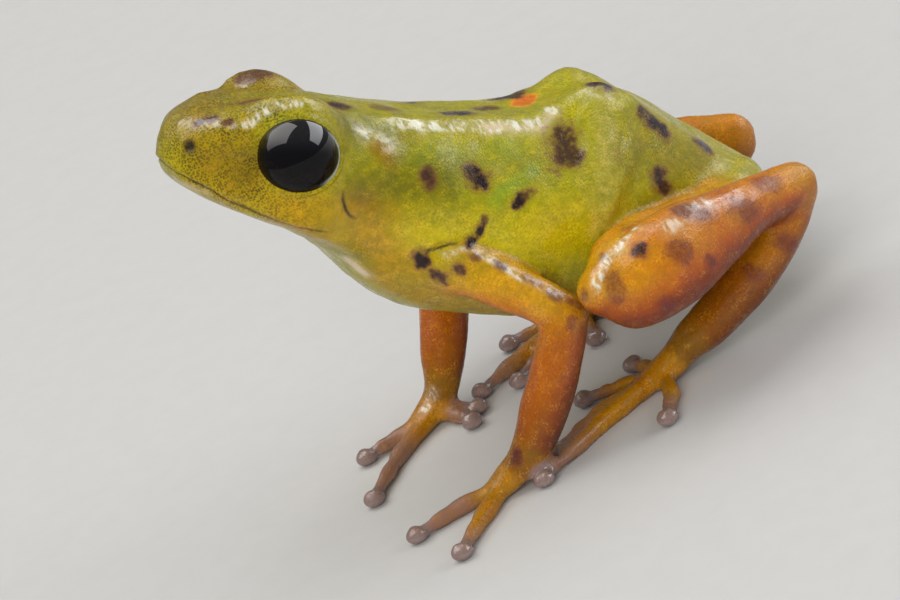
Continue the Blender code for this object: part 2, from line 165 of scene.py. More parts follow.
def sided(place, side):
    """A place or line of the left side for side 1, and its mirror image for side -1."""
    return np.asarray(place, float) * (1, side, 1)


def ellipsoid(centre, axes):
    """Rings of an ellipsoid along its first axis, from its centre and its three half axes as vectors."""
    along = np.linspace(0, math.pi, 26)[:, None, None]
    turn = full_turn(36)[None, :, None]
    long, wide, high = (np.asarray(axis, float)[None, None] for axis in axes)
    return centre - long * np.cos(along) + np.sin(along) * (wide * np.cos(turn) + high * np.sin(turn))


for side in (1, -1):
    flesh.append(ellipsoid(sided(LID_CENTRE, side), np.diag(LID_RADII)))

# The arms and legs.
# Slim limbs of muscle under the same skin, sharply bent at elbow, knee and heel. Each row is a point of a
# centre line (x, y, z), the half height there and the half width.
LIMBS = {
    "left upper arm": [
        (0.05, 1.9, 7.7, 1.0, 0.95),
        (-0.06, 2.75, 7.52, 1.0, 0.9),
        (-0.57, 3.25, 7.02, 0.96, 0.8),
        (-1.04, 3.65, 6.48, 0.88, 0.78),
        (-1.76, 4.15, 5.68, 0.78, 0.75),
        (-2.54, 4.7, 4.65, 0.76, 0.76),
    ],
    "left forearm": [
        (-2.54, 4.7, 4.65, 0.74, 0.74),
        (-1.7, 4.8, 3.56, 0.83, 0.8),
        (-0.84, 4.85, 2.54, 0.83, 0.78),
        (0.15, 4.85, 1.46, 0.74, 0.7),
        (0.75, 4.8, 1.0, 0.64, 0.64),
    ],
    "right upper arm": [
        (0.05, -1.9, 7.7, 1.0, 0.95),
        (-0.06, -2.75, 7.52, 1.0, 0.9),
        (-0.55, -3.45, 7.0, 0.96, 0.8),
        (-1.05, -4.2, 6.4, 0.88, 0.78),
        (-1.5, -4.9, 5.78, 0.78, 0.75),
        (-1.95, -5.6, 5.15, 0.76, 0.76),
    ],
    "right forearm": [
        (-1.95, -5.6, 5.15, 0.74, 0.74),
        (-1.3, -5.2, 4.15, 0.85, 0.85),
        (-0.6, -4.7, 3.0, 0.85, 0.85),
        (0.1, -4.25, 1.95, 0.78, 0.78),
        (0.6, -3.95, 1.15, 0.66, 0.66),
    ],
    "left thigh": [
        (-10.6, 0.9, 4.2, 1.0, 1.0),
        (-9.9, 2.0, 4.15, 1.15, 1.05),
        (-8.78, 2.85, 4.25, 1.2, 1.05),
        (-7.14, 3.65, 4.75, 1.2, 1.02),
        (-5.95, 4.3, 5.28, 1.1, 0.95),
        (-4.6, 5.15, 5.72, 0.86, 0.82),
    ],
    "left shank": [
        (-3.7, 6.2, 5.42, 0.92, 0.85),
        (-4.72, 6.2, 4.97, 1.45, 1.15),
        (-6.37, 5.9, 5.08, 1.62, 1.32),
        (-7.9, 5.3, 4.95, 1.35, 1.15),
        (-9.42, 4.6, 4.78, 1.05, 0.95),
        (-11.65, 3.62, 4.35, 0.8, 0.8),
    ],
    "left tarsus": [
        (-11.62, 3.55, 4.05, 0.78, 0.78),
        (-10.05, 3.42, 2.62, 0.84, 0.84),
        (-8.75, 3.32, 1.93, 0.86, 0.84),
        (-7.45, 3.2, 1.32, 0.8, 0.8),
        (-6.35, 3.1, 1.02, 0.7, 0.74),
    ],
    "right thigh": [
        (-10.6, -0.9, 4.2, 1.0, 1.0),
        (-9.9, -2.0, 4.15, 1.15, 1.05),
        (-8.8, -2.95, 4.25, 1.2, 1.05),
        (-7.3, -3.9, 4.75, 1.2, 1.02),
        (-6.2, -4.75, 5.25, 1.1, 0.95),
        (-5.0, -5.65, 5.62, 0.86, 0.82),
    ],
    "right shank": [
        (-4.2, -6.7, 5.3, 0.92, 0.85),
        (-5.2, -6.65, 4.92, 1.45, 1.15),
        (-6.9, -6.25, 4.96, 1.62, 1.32),
        (-8.5, -5.6, 4.75, 1.35, 1.15),
        (-10.1, -4.9, 4.45, 1.05, 0.95),
        (-12.35, -4.0, 3.95, 0.8, 0.8),
    ],
    "right tarsus": [
        (-12.3, -3.95, 3.68, 0.78, 0.78),
        (-10.75, -4.45, 2.58, 0.84, 0.84),
        (-9.35, -4.95, 1.95, 0.86, 0.84),
        (-7.7, -5.45, 1.35, 0.8, 0.8),
        (-6.55, -5.8, 1.05, 0.7, 0.74),
    ],
}


def tube(rows, spacing=0.16, around=40):
    """Rings of a round-ended tube along a smooth centre line, with its half height and half width all along.

    A ring is an ellipse across the line. Past either end the rings shrink as a half sphere does.
    """
    rows = np.asarray(rows, float)
    length = np.linalg.norm(np.diff(rows[:, :3], axis=0), axis=1).sum()
    rows = smooth_rows(rows, np.linspace(0, len(rows) - 1, int(length / spacing) + 4))
    forward = np.gradient(rows[:, :3], axis=0)
    forward /= np.linalg.norm(forward, axis=1, keepdims=True)
    cap = np.linspace(math.pi / 2, 0, 7)[:-1, None]
    grow = np.concatenate([np.cos(cap), np.ones((len(rows), 1)), np.cos(cap[::-1])])
    lead = rows[:1, :3] - forward[:1] * rows[0, 3] * np.sin(cap)
    trail = rows[-1:, :3] + forward[-1:] * rows[-1, 3] * np.sin(cap[::-1])
    centre = np.concatenate([lead, rows[:, :3], trail])
    size = np.concatenate([rows[:1, 3:].repeat(len(cap), 0), rows[:, 3:], rows[-1:, 3:].repeat(len(cap), 0)])
    size = size * grow
    forward = np.concatenate([forward[:1].repeat(len(cap), 0), forward, forward[-1:].repeat(len(cap), 0)])
    side = np.cross(forward, (0.0, 0.0, 1.0))
    side /= np.linalg.norm(side, axis=1, keepdims=True)
    up = np.cross(side, forward)
    turn = full_turn(around)[None, :, None]
    wide, high = size[:, None, 1:2], size[:, None, 0:1]
    return centre[:, None] + side[:, None] * wide * np.cos(turn) + up[:, None] * high * np.sin(turn)


# The skin of the bent knee spans the end of the thigh and the start of the shank.
KNEES = [
    [(-5.35, 4.85, 5.55, 1.0, 0.95), (-4.45, 5.55, 5.5, 1.05, 1.0), (-4.05, 6.05, 5.4, 1.0, 0.95)],
    [(-5.75, -5.3, 5.45, 1.0, 0.95), (-4.85, -6.0, 5.4, 1.05, 1.0), (-4.5, -6.5, 5.3, 1.0, 0.95)],
]
for rows in (*LIMBS.values(), *KNEES):
    flesh.append(tube(rows))

# The hands and feet.
# A flat palm or sole with slim, unwebbed digits, four on a hand and five on a foot. Each digit ends in a
# rounded disc with a pair of small scutes on top. A digit is its root, a bend and its tip, and its half
# thickness at the root.
# The left and right palm, then the left and right sole, as the limbs are.
PADS = [
    [(0.8, 4.78, 0.92, 0.58, 0.58), (1.5, 4.5, 0.52, 0.5, 0.66), (2.05, 4.45, 0.34, 0.34, 0.6)],
    [(0.66, -3.92, 1.02, 0.58, 0.58), (1.25, -3.95, 0.55, 0.5, 0.66), (1.95, -3.7, 0.34, 0.34, 0.6)],
    [(-6.25, 3.08, 0.96, 0.58, 0.6), (-5.4, 2.95, 0.56, 0.52, 0.68), (-4.55, 2.9, 0.36, 0.36, 0.62)],
    [(-6.45, -5.85, 0.98, 0.58, 0.6), (-5.65, -5.8, 0.56, 0.52, 0.68), (-4.95, -5.5, 0.36, 0.36, 0.62)],
]
DIGITS = [
    ((1.5, 4.3, 0.34), (0.75, 3.75, 0.26), (-0.35, 3.35, 0.28), 0.3),
    ((1.6, 4.3, 0.34), (1.1, 3.45, 0.26), (0.4, 2.6, 0.28), 0.3),
    ((1.9, 4.35, 0.32), (3.3, 4.15, 0.26), (5.05, 4.37, 0.28), 0.33),
    ((1.9, 4.65, 0.32), (3.05, 5.75, 0.26), (4.45, 7.35, 0.28), 0.33),
    ((1.1, -3.8, 0.34), (0.55, -3.3, 0.26), (0.1, -2.7, 0.28), 0.3),
    ((1.15, -3.75, 0.34), (0.8, -2.8, 0.26), (0.63, -1.85, 0.28), 0.3),
    ((1.75, -3.55, 0.32), (3.3, -2.35, 0.26), (5.1, -0.1, 0.28), 0.33),
    ((1.8, -3.8, 0.32), (2.9, -3.72, 0.26), (4.15, -3.6, 0.28), 0.33),
    ((-5.15, 2.65, 0.36), (-4.95, 1.6, 0.26), (-4.75, 0.75, 0.28), 0.3),
    ((-4.85, 2.7, 0.34), (-3.9, 1.95, 0.26), (-2.6, 1.3, 0.28), 0.3),
    ((-4.65, 2.8, 0.34), (-2.6, 3.05, 0.27), (-0.45, 4.1, 0.28), 0.33),
    ((-4.65, 3.0, 0.34), (-2.3, 3.75, 0.27), (0.6, 5.45, 0.28), 0.36),
    ((-5.0, 3.2, 0.34), (-4.7, 4.55, 0.26), (-3.9, 6.05, 0.28), 0.32),
    ((-5.45, -5.5, 0.36), (-5.9, -4.75, 0.26), (-6.3, -4.0, 0.28), 0.3),
    ((-5.15, -5.45, 0.34), (-4.95, -4.2, 0.26), (-4.75, -2.95, 0.28), 0.3),
    ((-5.0, -5.4, 0.34), (-3.3, -4.1, 0.27), (-1.7, -2.95, 0.28), 0.33),
    ((-5.0, -5.6, 0.34), (-2.8, -4.75, 0.27), (-0.5, -3.75, 0.28), 0.36),
    ((-5.3, -5.9, 0.34), (-3.9, -6.1, 0.26), (-2.6, -6.35, 0.28), 0.32),
]
DISC = (0.4, 0.38, 0.27)
# How far each scute's middle is in front of the disc's and to its side, and its reach.
SCUTE = (0.05, 0.17, 0.15)

for rows in PADS:
    flesh.append(tube(rows))
disc_tips = []
for root, bend, tip, half in DIGITS:
    root, bend, tip = (np.array(p) for p in (root, bend, tip))
    forward = (tip - bend) * (1, 1, 0) / np.linalg.norm((tip - bend)[:2])
    across = np.array((-forward[1], forward[0], 0.0))
    knuckle = bend + (tip - bend) * 0.45
    neck = bend + (tip - bend) * 0.75
    line = [
        (*root, half, half),
        (*(root * 0.62 + bend * 0.38), half * 0.9, half * 0.86),
        (*bend, half, half * 1.02),
        (*(bend * 0.5 + knuckle * 0.5), half * 0.84, half * 0.82),
        (*knuckle, half * 0.86, half * 0.86),
        (*neck, 0.22, 0.22),
        (*tip, 0.24, 0.26),
    ]
    flesh.append(tube(line, 0.08, 28))
    centre = tip * (1, 1, 0) + (0, 0, DISC[2] - 0.01)
    axes = [forward * DISC[0], across * DISC[1], (0, 0, DISC[2])]
    flesh.append(ellipsoid(centre, axes))
    disc_tips.append((centre, forward, across))

# The skin.
# All of the flesh under one skin, remeshed as a whole so that no joint shows, then smoothed where limb meets
# body, and made finer where the small things are: the face, the eye rims, the mouth and the tips.
VOXEL = 0.17
# Each easing of the skin is taken back by a little more than it moved, so that nothing shrinks.
BACK = 1.04


def new_object(name, data):
    """An object of a mesh, light or camera, put in the scene."""
    made = bpy.data.objects.new(name, data)
    bpy.context.scene.collection.objects.link(made)
    return made


def rows_of(items, name, width=3, kind=np.float32):
    """A property of all of a mesh's items as rows of numbers."""
    found = np.empty(len(items) * width, kind)
    items.foreach_get(name, found)
    return found.reshape(-1, width)


def one_skin(lumps, voxel):
    """Points and quads of a single skin over overlapping closed lumps."""
    points = np.concatenate([rings.reshape(-1, 3) for rings in lumps])
    starts = np.cumsum([0] + [rings.shape[0] * rings.shape[1] for rings in lumps[:-1]])
    quads = np.concatenate([ring_quads(*rings.shape[:2]) + start for rings, start in zip(lumps, starts)])
    mesh = skin_mesh(points, quads)
    lump = new_object("flesh", mesh)
    remesh = lump.modifiers.new("skin", "REMESH")
    remesh.mode = "VOXEL"
    remesh.voxel_size = voxel
    whole = lump.evaluated_get(bpy.context.evaluated_depsgraph_get()).data
    found = places_of(whole), rows_of(whole.loops, "vertex_index", 1, np.int32).reshape(-1, 4)
    bpy.data.objects.remove(lump)
    bpy.data.meshes.remove(mesh)
    return found


def skin_mesh(points, faces):
    """A mesh in millimetres from points and faces."""
    mesh = bpy.data.meshes.new("skin")
    mesh.from_pydata(points.tolist(), [], faces.tolist())
    return mesh


def put(mesh, points):
    """The mesh's points moved to some places."""
    mesh.vertices.foreach_set("co", points.astype(np.float32).ravel())
    mesh.update()


def places_of(mesh):
    """The mesh's points as rows."""
    return rows_of(mesh.vertices, "co").astype(float)


def edges_of(mesh):
    """The mesh's edges as pairs of point numbers."""
    return rows_of(mesh.edges, "vertices", 2, np.int32)


def outward_of(mesh, points):
    """The outward direction of the surface at each point, once the mesh has taken the points' places."""
    put(mesh, points)
    return rows_of(mesh.vertex_normals, "vector").astype(float)


def mean_of_neighbours(values, pairs):
    """For each point, the mean of a value over the points that an edge joins it to."""
    count = np.bincount(pairs.ravel(), minlength=len(values))
    total = [
        np.bincount(pairs[:, 0], column[pairs[:, 1]], len(values))
        + np.bincount(pairs[:, 1], column[pairs[:, 0]], len(values))
        for column in values.reshape(len(values), -1).T
    ]
    return (np.stack(total, axis=1) / np.maximum(count, 1)[:, None]).reshape(values.shape)


def eased(points, pairs, steps, share, back=0.0):
    """Points moved a share of the way to their neighbours' mean, then back by a share, a number of times."""
    share = np.broadcast_to(share, len(points))[:, None]
    for _ in range(steps):
        points = points + share * (mean_of_neighbours(points, pairs) - points)
        if back:
            points = points - share * back * (mean_of_neighbours(points, pairs) - points)
    return points


def near(points, places):
    """How near points are to any of some places (x, y, z, reach): 1 at a place, and 0 well outside it."""
    best = np.zeros(len(points))
    for *place, reach in places:
        best = np.maximum(best, np.exp(-(((points - place) / reach) ** 2).sum(axis=1)))
    return best


def apart_from(points, place):
    """Distance of each point from a place."""
    return np.linalg.norm(points - np.asarray(place), axis=1)


def from_line(points, line):
    """Distance of each point from a line through some places, and how far along the line, from 0 to 1."""
    line = np.asarray(line, float)
    best = np.full(len(points), np.inf)
    along = np.zeros(len(points))
    for i, (start, end) in enumerate(zip(line[:-1], line[1:])):
        step = end - start
        t = np.clip((points - start) @ step / (step @ step), 0, 1)
        apart = np.linalg.norm(points - start - t[:, None] * step, axis=1)
        closer = apart < best
        best = np.where(closer, apart, best)
        along = np.where(closer, (i + t) / (len(line) - 1), along)
    return best, along


def bell(distance, reach, power=2):
    """1 at no distance and less further off, as exp of minus a power of distance over reach."""
    return np.exp(-((distance / reach) ** power))


def smooth_step(value, start, end):
    """0 up to start, 1 from end, and an even S between them."""
    t = np.clip((value - start) / (end - start), 0, 1)
    return t * t * (3 - 2 * t)


def finer(mesh, chosen):
    """The mesh with each face that has a chosen point split in four."""
    work = bmesh.new()
    work.from_mesh(mesh)
    chosen = chosen.tolist()
    edges = {edge for face in work.faces if any(chosen[v.index] for v in face.verts) for edge in face.edges}
    bmesh.ops.subdivide_edges(work, edges=list(edges), cuts=1, use_grid_fill=True, use_single_edge=True)
    work.to_mesh(mesh)
    work.free()


def both_sides(line):
    """A line of the left side and its mirror image."""
    return sided(line, 1), sided(line, -1)


mesh = skin_mesh(*one_skin(flesh, VOXEL))
skin, pairs = places_of(mesh), edges_of(mesh)
digit_points = near(skin, [(*centre, 0.9) for centre, forward, across in disc_tips])
skin = eased(skin, pairs, 5, 0.5 * (1 - 0.7 * digit_points), BACK)

# Where limbs meet the body or each other the skin spans the corner in a soft fillet.
FILLETS = [
    (0.3, 2.9, 7.6, 1.5),
    (-2.4, 4.5, 5.0, 0.7),
    (0.9, 4.8, 1.0, 0.8),
    (-10.2, 2.3, 4.6, 1.6),
    (-4.3, 5.6, 5.6, 0.9),
    (-11.3, 3.5, 4.2, 0.8),
    (-5.9, 3.0, 0.8, 0.8),
    (0.3, -2.9, 7.6, 1.5),
    (-1.9, -5.4, 5.3, 0.7),
    (0.8, -3.95, 1.1, 0.8),
    (-10.2, -2.3, 4.6, 1.6),
    (-4.7, -6.1, 5.5, 0.9),
    (-12.0, -3.9, 3.8, 0.8),
    (-6.1, -5.8, 0.8, 0.8),
    (3.0, 0.0, 15.0, 1.4),
    (2.0, 2.9, 11.9, 0.9),
    (2.0, -2.9, 11.9, 0.9),
    (4.6, 2.4, 13.2, 0.9),
    (4.6, -2.4, 13.2, 0.9),
    (1.3, 2.2, 13.6, 0.9),
    (1.3, -2.2, 13.6, 0.9),
]
skin = eased(skin, pairs, 24, 0.5 * near(skin, FILLETS))

# Soft forms under the skin: ridges and hollows of the left side, with a mirror image on the right. Each is
# a line with its reach and how far it raises the skin.
FORMS = [
    ([(2.4, 2.2, 15.15), (4.04, 1.84, 15.0), (5.68, 1.1, 15.3)], 0.38, 0.09),
    ([(4.7, 2.35, 14.0), (5.3, 2.1, 14.2)], 0.5, -0.11),
    ([(5.75, 1.35, 14.9), (5.8, 1.35, 14.9)], 0.38, 0.05),
    ([(0.4, 1.5, 12.9), (-1.09, 1.44, 11.96), (-3.2, 1.5, 10.95), (-5.5, 1.52, 9.94)], 0.5, 0.13),
    ([(-2.2, 2.9, 9.9), (-4.6, 3.0, 8.9)], 1.0, -0.14),
    ([(-7.4, 1.6, 9.7), (-6.6, 2.9, 8.2), (-5.6, 3.5, 6.8)], 0.45, 0.1),
    ([(0.3, 2.3, 12.0), (0.5, 2.5, 11.5)], 0.5, 0.1),
    ([(0.35, 2.2, 12.15), (0.25, 2.3, 12.05)], 0.17, 0.07),
    ([(0.15, 2.45, 11.75), (0.1, 2.55, 11.6)], 0.15, 0.07),
    ([(0.5, 2.45, 11.8), (0.55, 2.5, 11.7)], 0.14, 0.06),
    ([(-0.15, 2.3, 11.8), (-0.2, 2.4, 11.6)], 0.14, 0.05),
    ([(-5.75, 5.0, 6.35), (-4.4, 6.05, 6.25), (-3.3, 6.75, 5.85)], 0.17, 0.1),
    ([(-5.7, 4.65, 6.4), (-4.35, 5.65, 6.3), (-3.2, 6.35, 6.0)], 0.16, -0.12),
    ([(-5.4, 3.9, 6.3), (-6.54, 3.21, 6.04), (-8.13, 2.71, 5.65), (-9.6, 2.55, 5.29)], 0.2, -0.12),
    ([(-0.9, 2.5, 10.6), (-0.5, 2.9, 9.6)], 0.9, 0.12),
    ([(1.62, 2.96, 10.98), (1.6, 2.96, 10.9)], 0.45, -0.06),
    ([(-8.2, 0.0, 8.8), (-11.2, 0.0, 4.7)], 0.5, 0.12),
    ([(-1.5, 0.0, 12.2), (-6.5, 0.0, 9.9)], 0.5, -0.08),
    ([(-8.1, 1.7, 8.9), (-9.8, 1.4, 6.3)], 0.5, 0.1),
    ([(4.0, 1.55, 15.1), (3.4, 1.75, 15.15)], 0.5, 0.13),
    ([(0.2, 3.4, 7.95), (-0.6, 3.6, 7.8)], 0.32, 0.13),
    ([(-7.0, 1.9, 9.7), (-6.0, 2.3, 9.25), (-4.9, 3.3, 8.0), (-4.75, 3.6, 6.6)], 0.22, 0.06),
    ([(-7.7, 2.05, 9.0), (-7.5, 2.45, 8.05), (-6.45, 3.1, 7.3), (-4.95, 3.6, 6.2)], 0.22, 0.08),
    ([(-8.3, 2.0, 8.8), (-8.0, 2.35, 7.7), (-6.9, 3.05, 6.8), (-5.3, 3.6, 5.9)], 0.25, -0.08),
]
# The skin's unevenness: how high, how long and with what seed two fields of waves are.
UNEVENNESS = ((0.022, 2.4, 3), (0.012, 1.1, 4))
UNEVEN_WAVES = 40


def uneven(points, wavelength, seed):
    """A smooth uneven field from about -1 to 1: a sum of sine waves in random directions."""
    pick = np.random.default_rng(seed)
    ways = pick.normal(size=(UNEVEN_WAVES, 3))
    ways *= 2 * math.pi / wavelength / np.linalg.norm(ways, axis=1, keepdims=True)
    ways *= pick.uniform(0.7, 1.4, size=(UNEVEN_WAVES, 1))
    phases = pick.uniform(0, 2 * math.pi, UNEVEN_WAVES)
    return np.sin(points @ ways.T + phases).sum(axis=1) / math.sqrt(UNEVEN_WAVES)


outward = outward_of(mesh, skin)
rise = sum(high * uneven(skin, wavelength, seed) for high, wavelength, seed in UNEVENNESS)
rise *= 1 - 0.6 * digit_points
for line, reach, height in FORMS:
    for form in both_sides(line)[: 1 if abs(line[0][1]) < 0.01 else 2]:
        rise += height * bell(from_line(skin, form)[0], reach)
skin = skin + outward * rise[:, None]

# The face and the tips of the digits are made finer, and the thinnest lines of the face finer again.
EYE_RADIUS = 1.38
EYE_CENTRE = (2.85, 2.2, 13.1)
EYE_LOOKS = (0.12, 0.95, 0.28)
EYE_LONG_AXIS = (0.871, 0.0, 0.491)
LID_OPENING = (0.985, 0.86)
NOSTRIL = (5.77, 1.4, 14.86)
FACE = (4.2, 0.0, 13.2)
EAR = (2.5, 3.0, 11.0)
MOUTH = [
    (3.07, 3.19, 10.55),
    (3.68, 3.11, 10.94),
    (4.24, 2.9, 11.35),
    (4.67, 2.77, 11.79),
    (5.1, 2.57, 12.24),
    (5.54, 2.36, 12.81),
    (5.92, 2.06, 13.4),
    (6.3, 1.52, 13.88),
    (6.54, 0.93, 14.22),
    (6.64, 0.39, 14.45),
    (6.68, 0.0, 14.5),
]
mouth_left = smooth_rows(MOUTH, np.linspace(0, len(MOUTH) - 1, 31))
mouth = np.concatenate([mouth_left, sided(mouth_left[-2::-1], -1)])
TYMPANUM_EDGE = [
    (2.1, 3.05, 11.62),
    (2.26, 3.09, 11.3),
    (2.31, 3.1, 10.98),
    (2.27, 3.09, 10.73),
    (2.1, 3.07, 10.45),
]
ARM_CREASE = [(0.62, 3.12, 8.2), (0.45, 3.2, 8.36), (0.1, 3.3, 8.4), (-0.25, 3.4, 8.32), (-0.5, 3.48, 8.18)]


def eye_frame(side):
    """Three directions of an eye: towards its front corner, up across the opening, and where it looks."""
    look = np.array(EYE_LOOKS) / np.linalg.norm(EYE_LOOKS)
    corner = np.array(EYE_LONG_AXIS) - look * np.dot(EYE_LONG_AXIS, look)
    corner /= np.linalg.norm(corner)
    up = np.cross(corner, look)
    return [axis * (1, side, 1) for axis in (corner, up, look)]


def in_eye(points, side):
    """For points round an eye: distance from its centre, and the angle past the lids' edge, in radians.

    The edge is an ellipse as seen from where the eye looks. The angle is less than 0 inside the opening.
    """
    corner, up, look = eye_frame(side)
    away = points - sided(EYE_CENTRE, side)
    apart = np.linalg.norm(away, axis=1)
    away = away / apart[:, None]
    forth, high, ahead = away @ corner, away @ up, away @ look
    across = np.hypot(forth, high) + 1e-9
    edge = across / np.hypot(forth / LID_OPENING[0], high / LID_OPENING[1])
    return apart, np.arctan2(across, ahead) - np.arcsin(edge)


put(mesh, skin)
on_face = apart_from(skin, FACE) < 3.9
for side in (1, -1):
    on_face |= apart_from(skin, sided(EAR, side)) < 1.2
    on_face |= from_line(skin, sided(ARM_CREASE, side))[0] < 0.35
on_tips = near(skin, [(*centre, 0.55) for centre, forward, across in disc_tips]) > 0.37
finer(mesh, on_face | on_tips)
skin, pairs = places_of(mesh), edges_of(mesh)
on_face = apart_from(skin, FACE) < 4.1
on_tips = near(skin, [(*centre, 0.6) for centre, forward, across in disc_tips]) > 0.3
skin = eased(skin, pairs, 4, 0.5 * (on_face | on_tips), BACK)

put(mesh, skin)
thin = from_line(skin, mouth)[0] < 0.16
for side in (1, -1):
    apart, past = in_eye(skin, side)
    thin |= (apart < 2.5) & (np.abs(past - 0.04) < 0.16)
    for line in (TYMPANUM_EDGE, ARM_CREASE):
        thin |= from_line(skin, sided(line, side))[0] < 0.18
    thin |= apart_from(skin, sided(NOSTRIL, side)) < 0.4
finer(mesh, thin)
skin, pairs = places_of(mesh), edges_of(mesh)
on_face = apart_from(skin, FACE) < 4.1
skin = eased(skin, pairs, 3, 0.5 * on_face, BACK)
put(mesh, skin)
thin = np.zeros(len(skin), bool)
for side in (1, -1):
    apart, past = in_eye(skin, side)
    thin |= (apart < 2.4) & (np.abs(past) < 0.055)
finer(mesh, thin)
skin = places_of(mesh)


def on_skin(places):
    """The skin's nearest point to each place."""
    return np.array([skin[np.argmin(((skin - place) ** 2).sum(axis=1))] for place in places])


# The face: the line of the mouth with its lips, nostrils, the edge of the eardrum, and the lids. Each height
# or depth has its reach, and the lips and nostril rims first have how far they are from the mouth or nostril.
MOUTH_LINE = (0.08, 0.05)
LIP = (0.17, 0.035, 0.12)
NOSTRIL_PIT = (0.2, 0.13)
NOSTRIL_RIM = (0.24, 0.035, 0.1)
CREASE = (0.09, 0.07)
outward = outward_of(mesh, skin)
mouth = on_skin(mouth)
from_mouth, along_mouth = from_line(skin, mouth)
fade = np.clip(np.minimum(along_mouth, 1 - along_mouth) / 0.03, 0, 1)
step = skin[:, 2] - np.interp(skin[:, 0], mouth_left[:, 0], mouth_left[:, 2])
rise = -MOUTH_LINE[0] * bell(from_mouth, MOUTH_LINE[1]) * fade
rise += LIP[1] * bell(from_mouth - LIP[0], LIP[2]) * fade * np.where(step > 0, 1.0, -0.6)
for side in (1, -1):
    nostril = apart_from(skin, sided(NOSTRIL, side))
    rim = NOSTRIL_RIM[1] * bell(nostril - NOSTRIL_RIM[0], NOSTRIL_RIM[2])
    rise += rim - NOSTRIL_PIT[0] * bell(nostril, NOSTRIL_PIT[1])
    for line in (TYMPANUM_EDGE, ARM_CREASE):
        edge, along = from_line(skin, on_skin(sided(line, side)))
        rise -= CREASE[0] * bell(edge, CREASE[1]) * np.sin(math.pi * np.clip(along, 0.04, 0.96))
skin = skin + outward * rise[:, None]

LID_THICKNESS = 0.06
LID_EDGE = 0.035
UNDER_LID = 0.12
for side in (1, -1):
    apart, past = in_eye(skin, side)
    centre = sided(EYE_CENTRE, side)
    outside = smooth_step(past, -0.03, 0.03)
    rim = EYE_RADIUS + LID_THICKNESS + LID_EDGE * bell(past - 0.07, 0.05)
    rim -= LID_EDGE * bell(past - 0.22, 0.07)
    lid = rim + (apart - rim) * smooth_step(past, 0.02, 0.32)
    wanted = EYE_RADIUS - UNDER_LID + (lid - EYE_RADIUS + UNDER_LID) * outside
    wanted = wanted + (apart - wanted) * smooth_step(apart, 2.3, 2.7)
    skin = centre + (skin - centre) * (wanted / apart)[:, None]
pairs = edges_of(mesh)
for side in (1, -1):
    apart, past = in_eye(skin, side)
    brow = smooth_step(past, 0.12, 0.2) * smooth_step(-past, -0.8, -0.6) * smooth_step(-apart, -2.8, -2.5)
    skin = eased(skin, pairs, 24, 0.5 * brow)

# Each disc is drawn to a true ellipsoid, and has a pair of scutes with a fine groove across behind them.
GROOVE_BEHIND = 0.26
GROOVE_HALF = 0.3
GROOVE_DEPTH = 0.05
GROOVE_REACH = 0.08
for centre, forward, across in disc_tips:
    away = skin - centre
    forth = away @ forward / DISC[0]
    apart = np.sqrt(forth**2 + (away @ across / DISC[1]) ** 2 + (away[:, 2] / DISC[2]) ** 2)
    share = smooth_step(forth, -0.85, -0.2) * smooth_step(-apart, -1.7, -1.3)
    skin = skin + away * (share * (1 / np.maximum(apart, 0.2) - 1))[:, None]
outward = outward_of(mesh, skin)
rise = np.zeros(len(skin))
for centre, forward, across in disc_tips:
    above = centre + (0, 0, DISC[2])
    for out in (SCUTE[1], -SCUTE[1]):
        rise += 0.04 * bell(apart_from(skin - above - across * out, forward * SCUTE[0]), SCUTE[2])
    behind = above - forward * GROOVE_BEHIND
    groove = from_line(skin, [behind + across * GROOVE_HALF, behind - across * GROOVE_HALF])[0]
    rise -= GROOVE_DEPTH * bell(groove, GROOVE_REACH)
skin = skin + outward * rise[:, None]
skin[:, 2] = np.maximum(skin[:, 2], 0.0)
outward = outward_of(mesh, skin)

# The markings.
# Chromatophores under the skin: olive yellow on the body, golden on the face, orange on the limbs, grey on
# the digits, with dark brown spots. Painted light and shade are held beside them: painted highlights and
# glints on the wet ridges, painted shade in the recesses, under the limbs and on the hands and feet, and skin
# drawn darker or lighter for where light falls. Each is held as a number at every point, which the material
# reads.

# How each length of limb looks: its tints along it, how much redder it is underneath, how much painted shade
# darkens its underside, and how light it is, which on the forearm, shank and tarsus is lowered partly as
# painted shade.
LIMB_LOOKS = {
    "upper arm": ((0.38, 0.48, 0.56, 0.62, 0.74), 0.2, 0.1, 1.0),
    "forearm": ((0.8, 0.82, 0.84, 0.82, 0.78), 0.16, 0.25, 0.8),
    "thigh": ((0.5, 0.58, 0.64, 0.68, 0.7), 0.36, 0.05, 1.0),
    "shank": ((0.64, 0.73, 0.77, 0.77, 0.7), 0.3, 0.25, 0.94),
    "tarsus": ((0.72, 0.76, 0.78, 0.78, 0.74), 0.08, 0.2, 0.8),
}
KNEE_TINT = 0.66
# The golden tops of the elbows, as the patches below.
ELBOWS = [
    ([(-2.3, 4.9, 5.45), (-2.8, 5.1, 4.95)], 0.75, 0.57, 0.8),
    ([(-1.7, -5.6, 5.95), (-2.2, -5.9, 5.45)], 0.75, 0.57, 0.8),
]
FOOT_TINT = 0.68
# The middle of the stippled face.
STIPPLED = (4.4, 0.0, 13.4)
# How far along each digit it turns pink.
PINK_FROM = (0.15, 0.15, 0.15, 0.6, 0.15, 0.15, 0.15, 0.15) + (0.5,) * 10
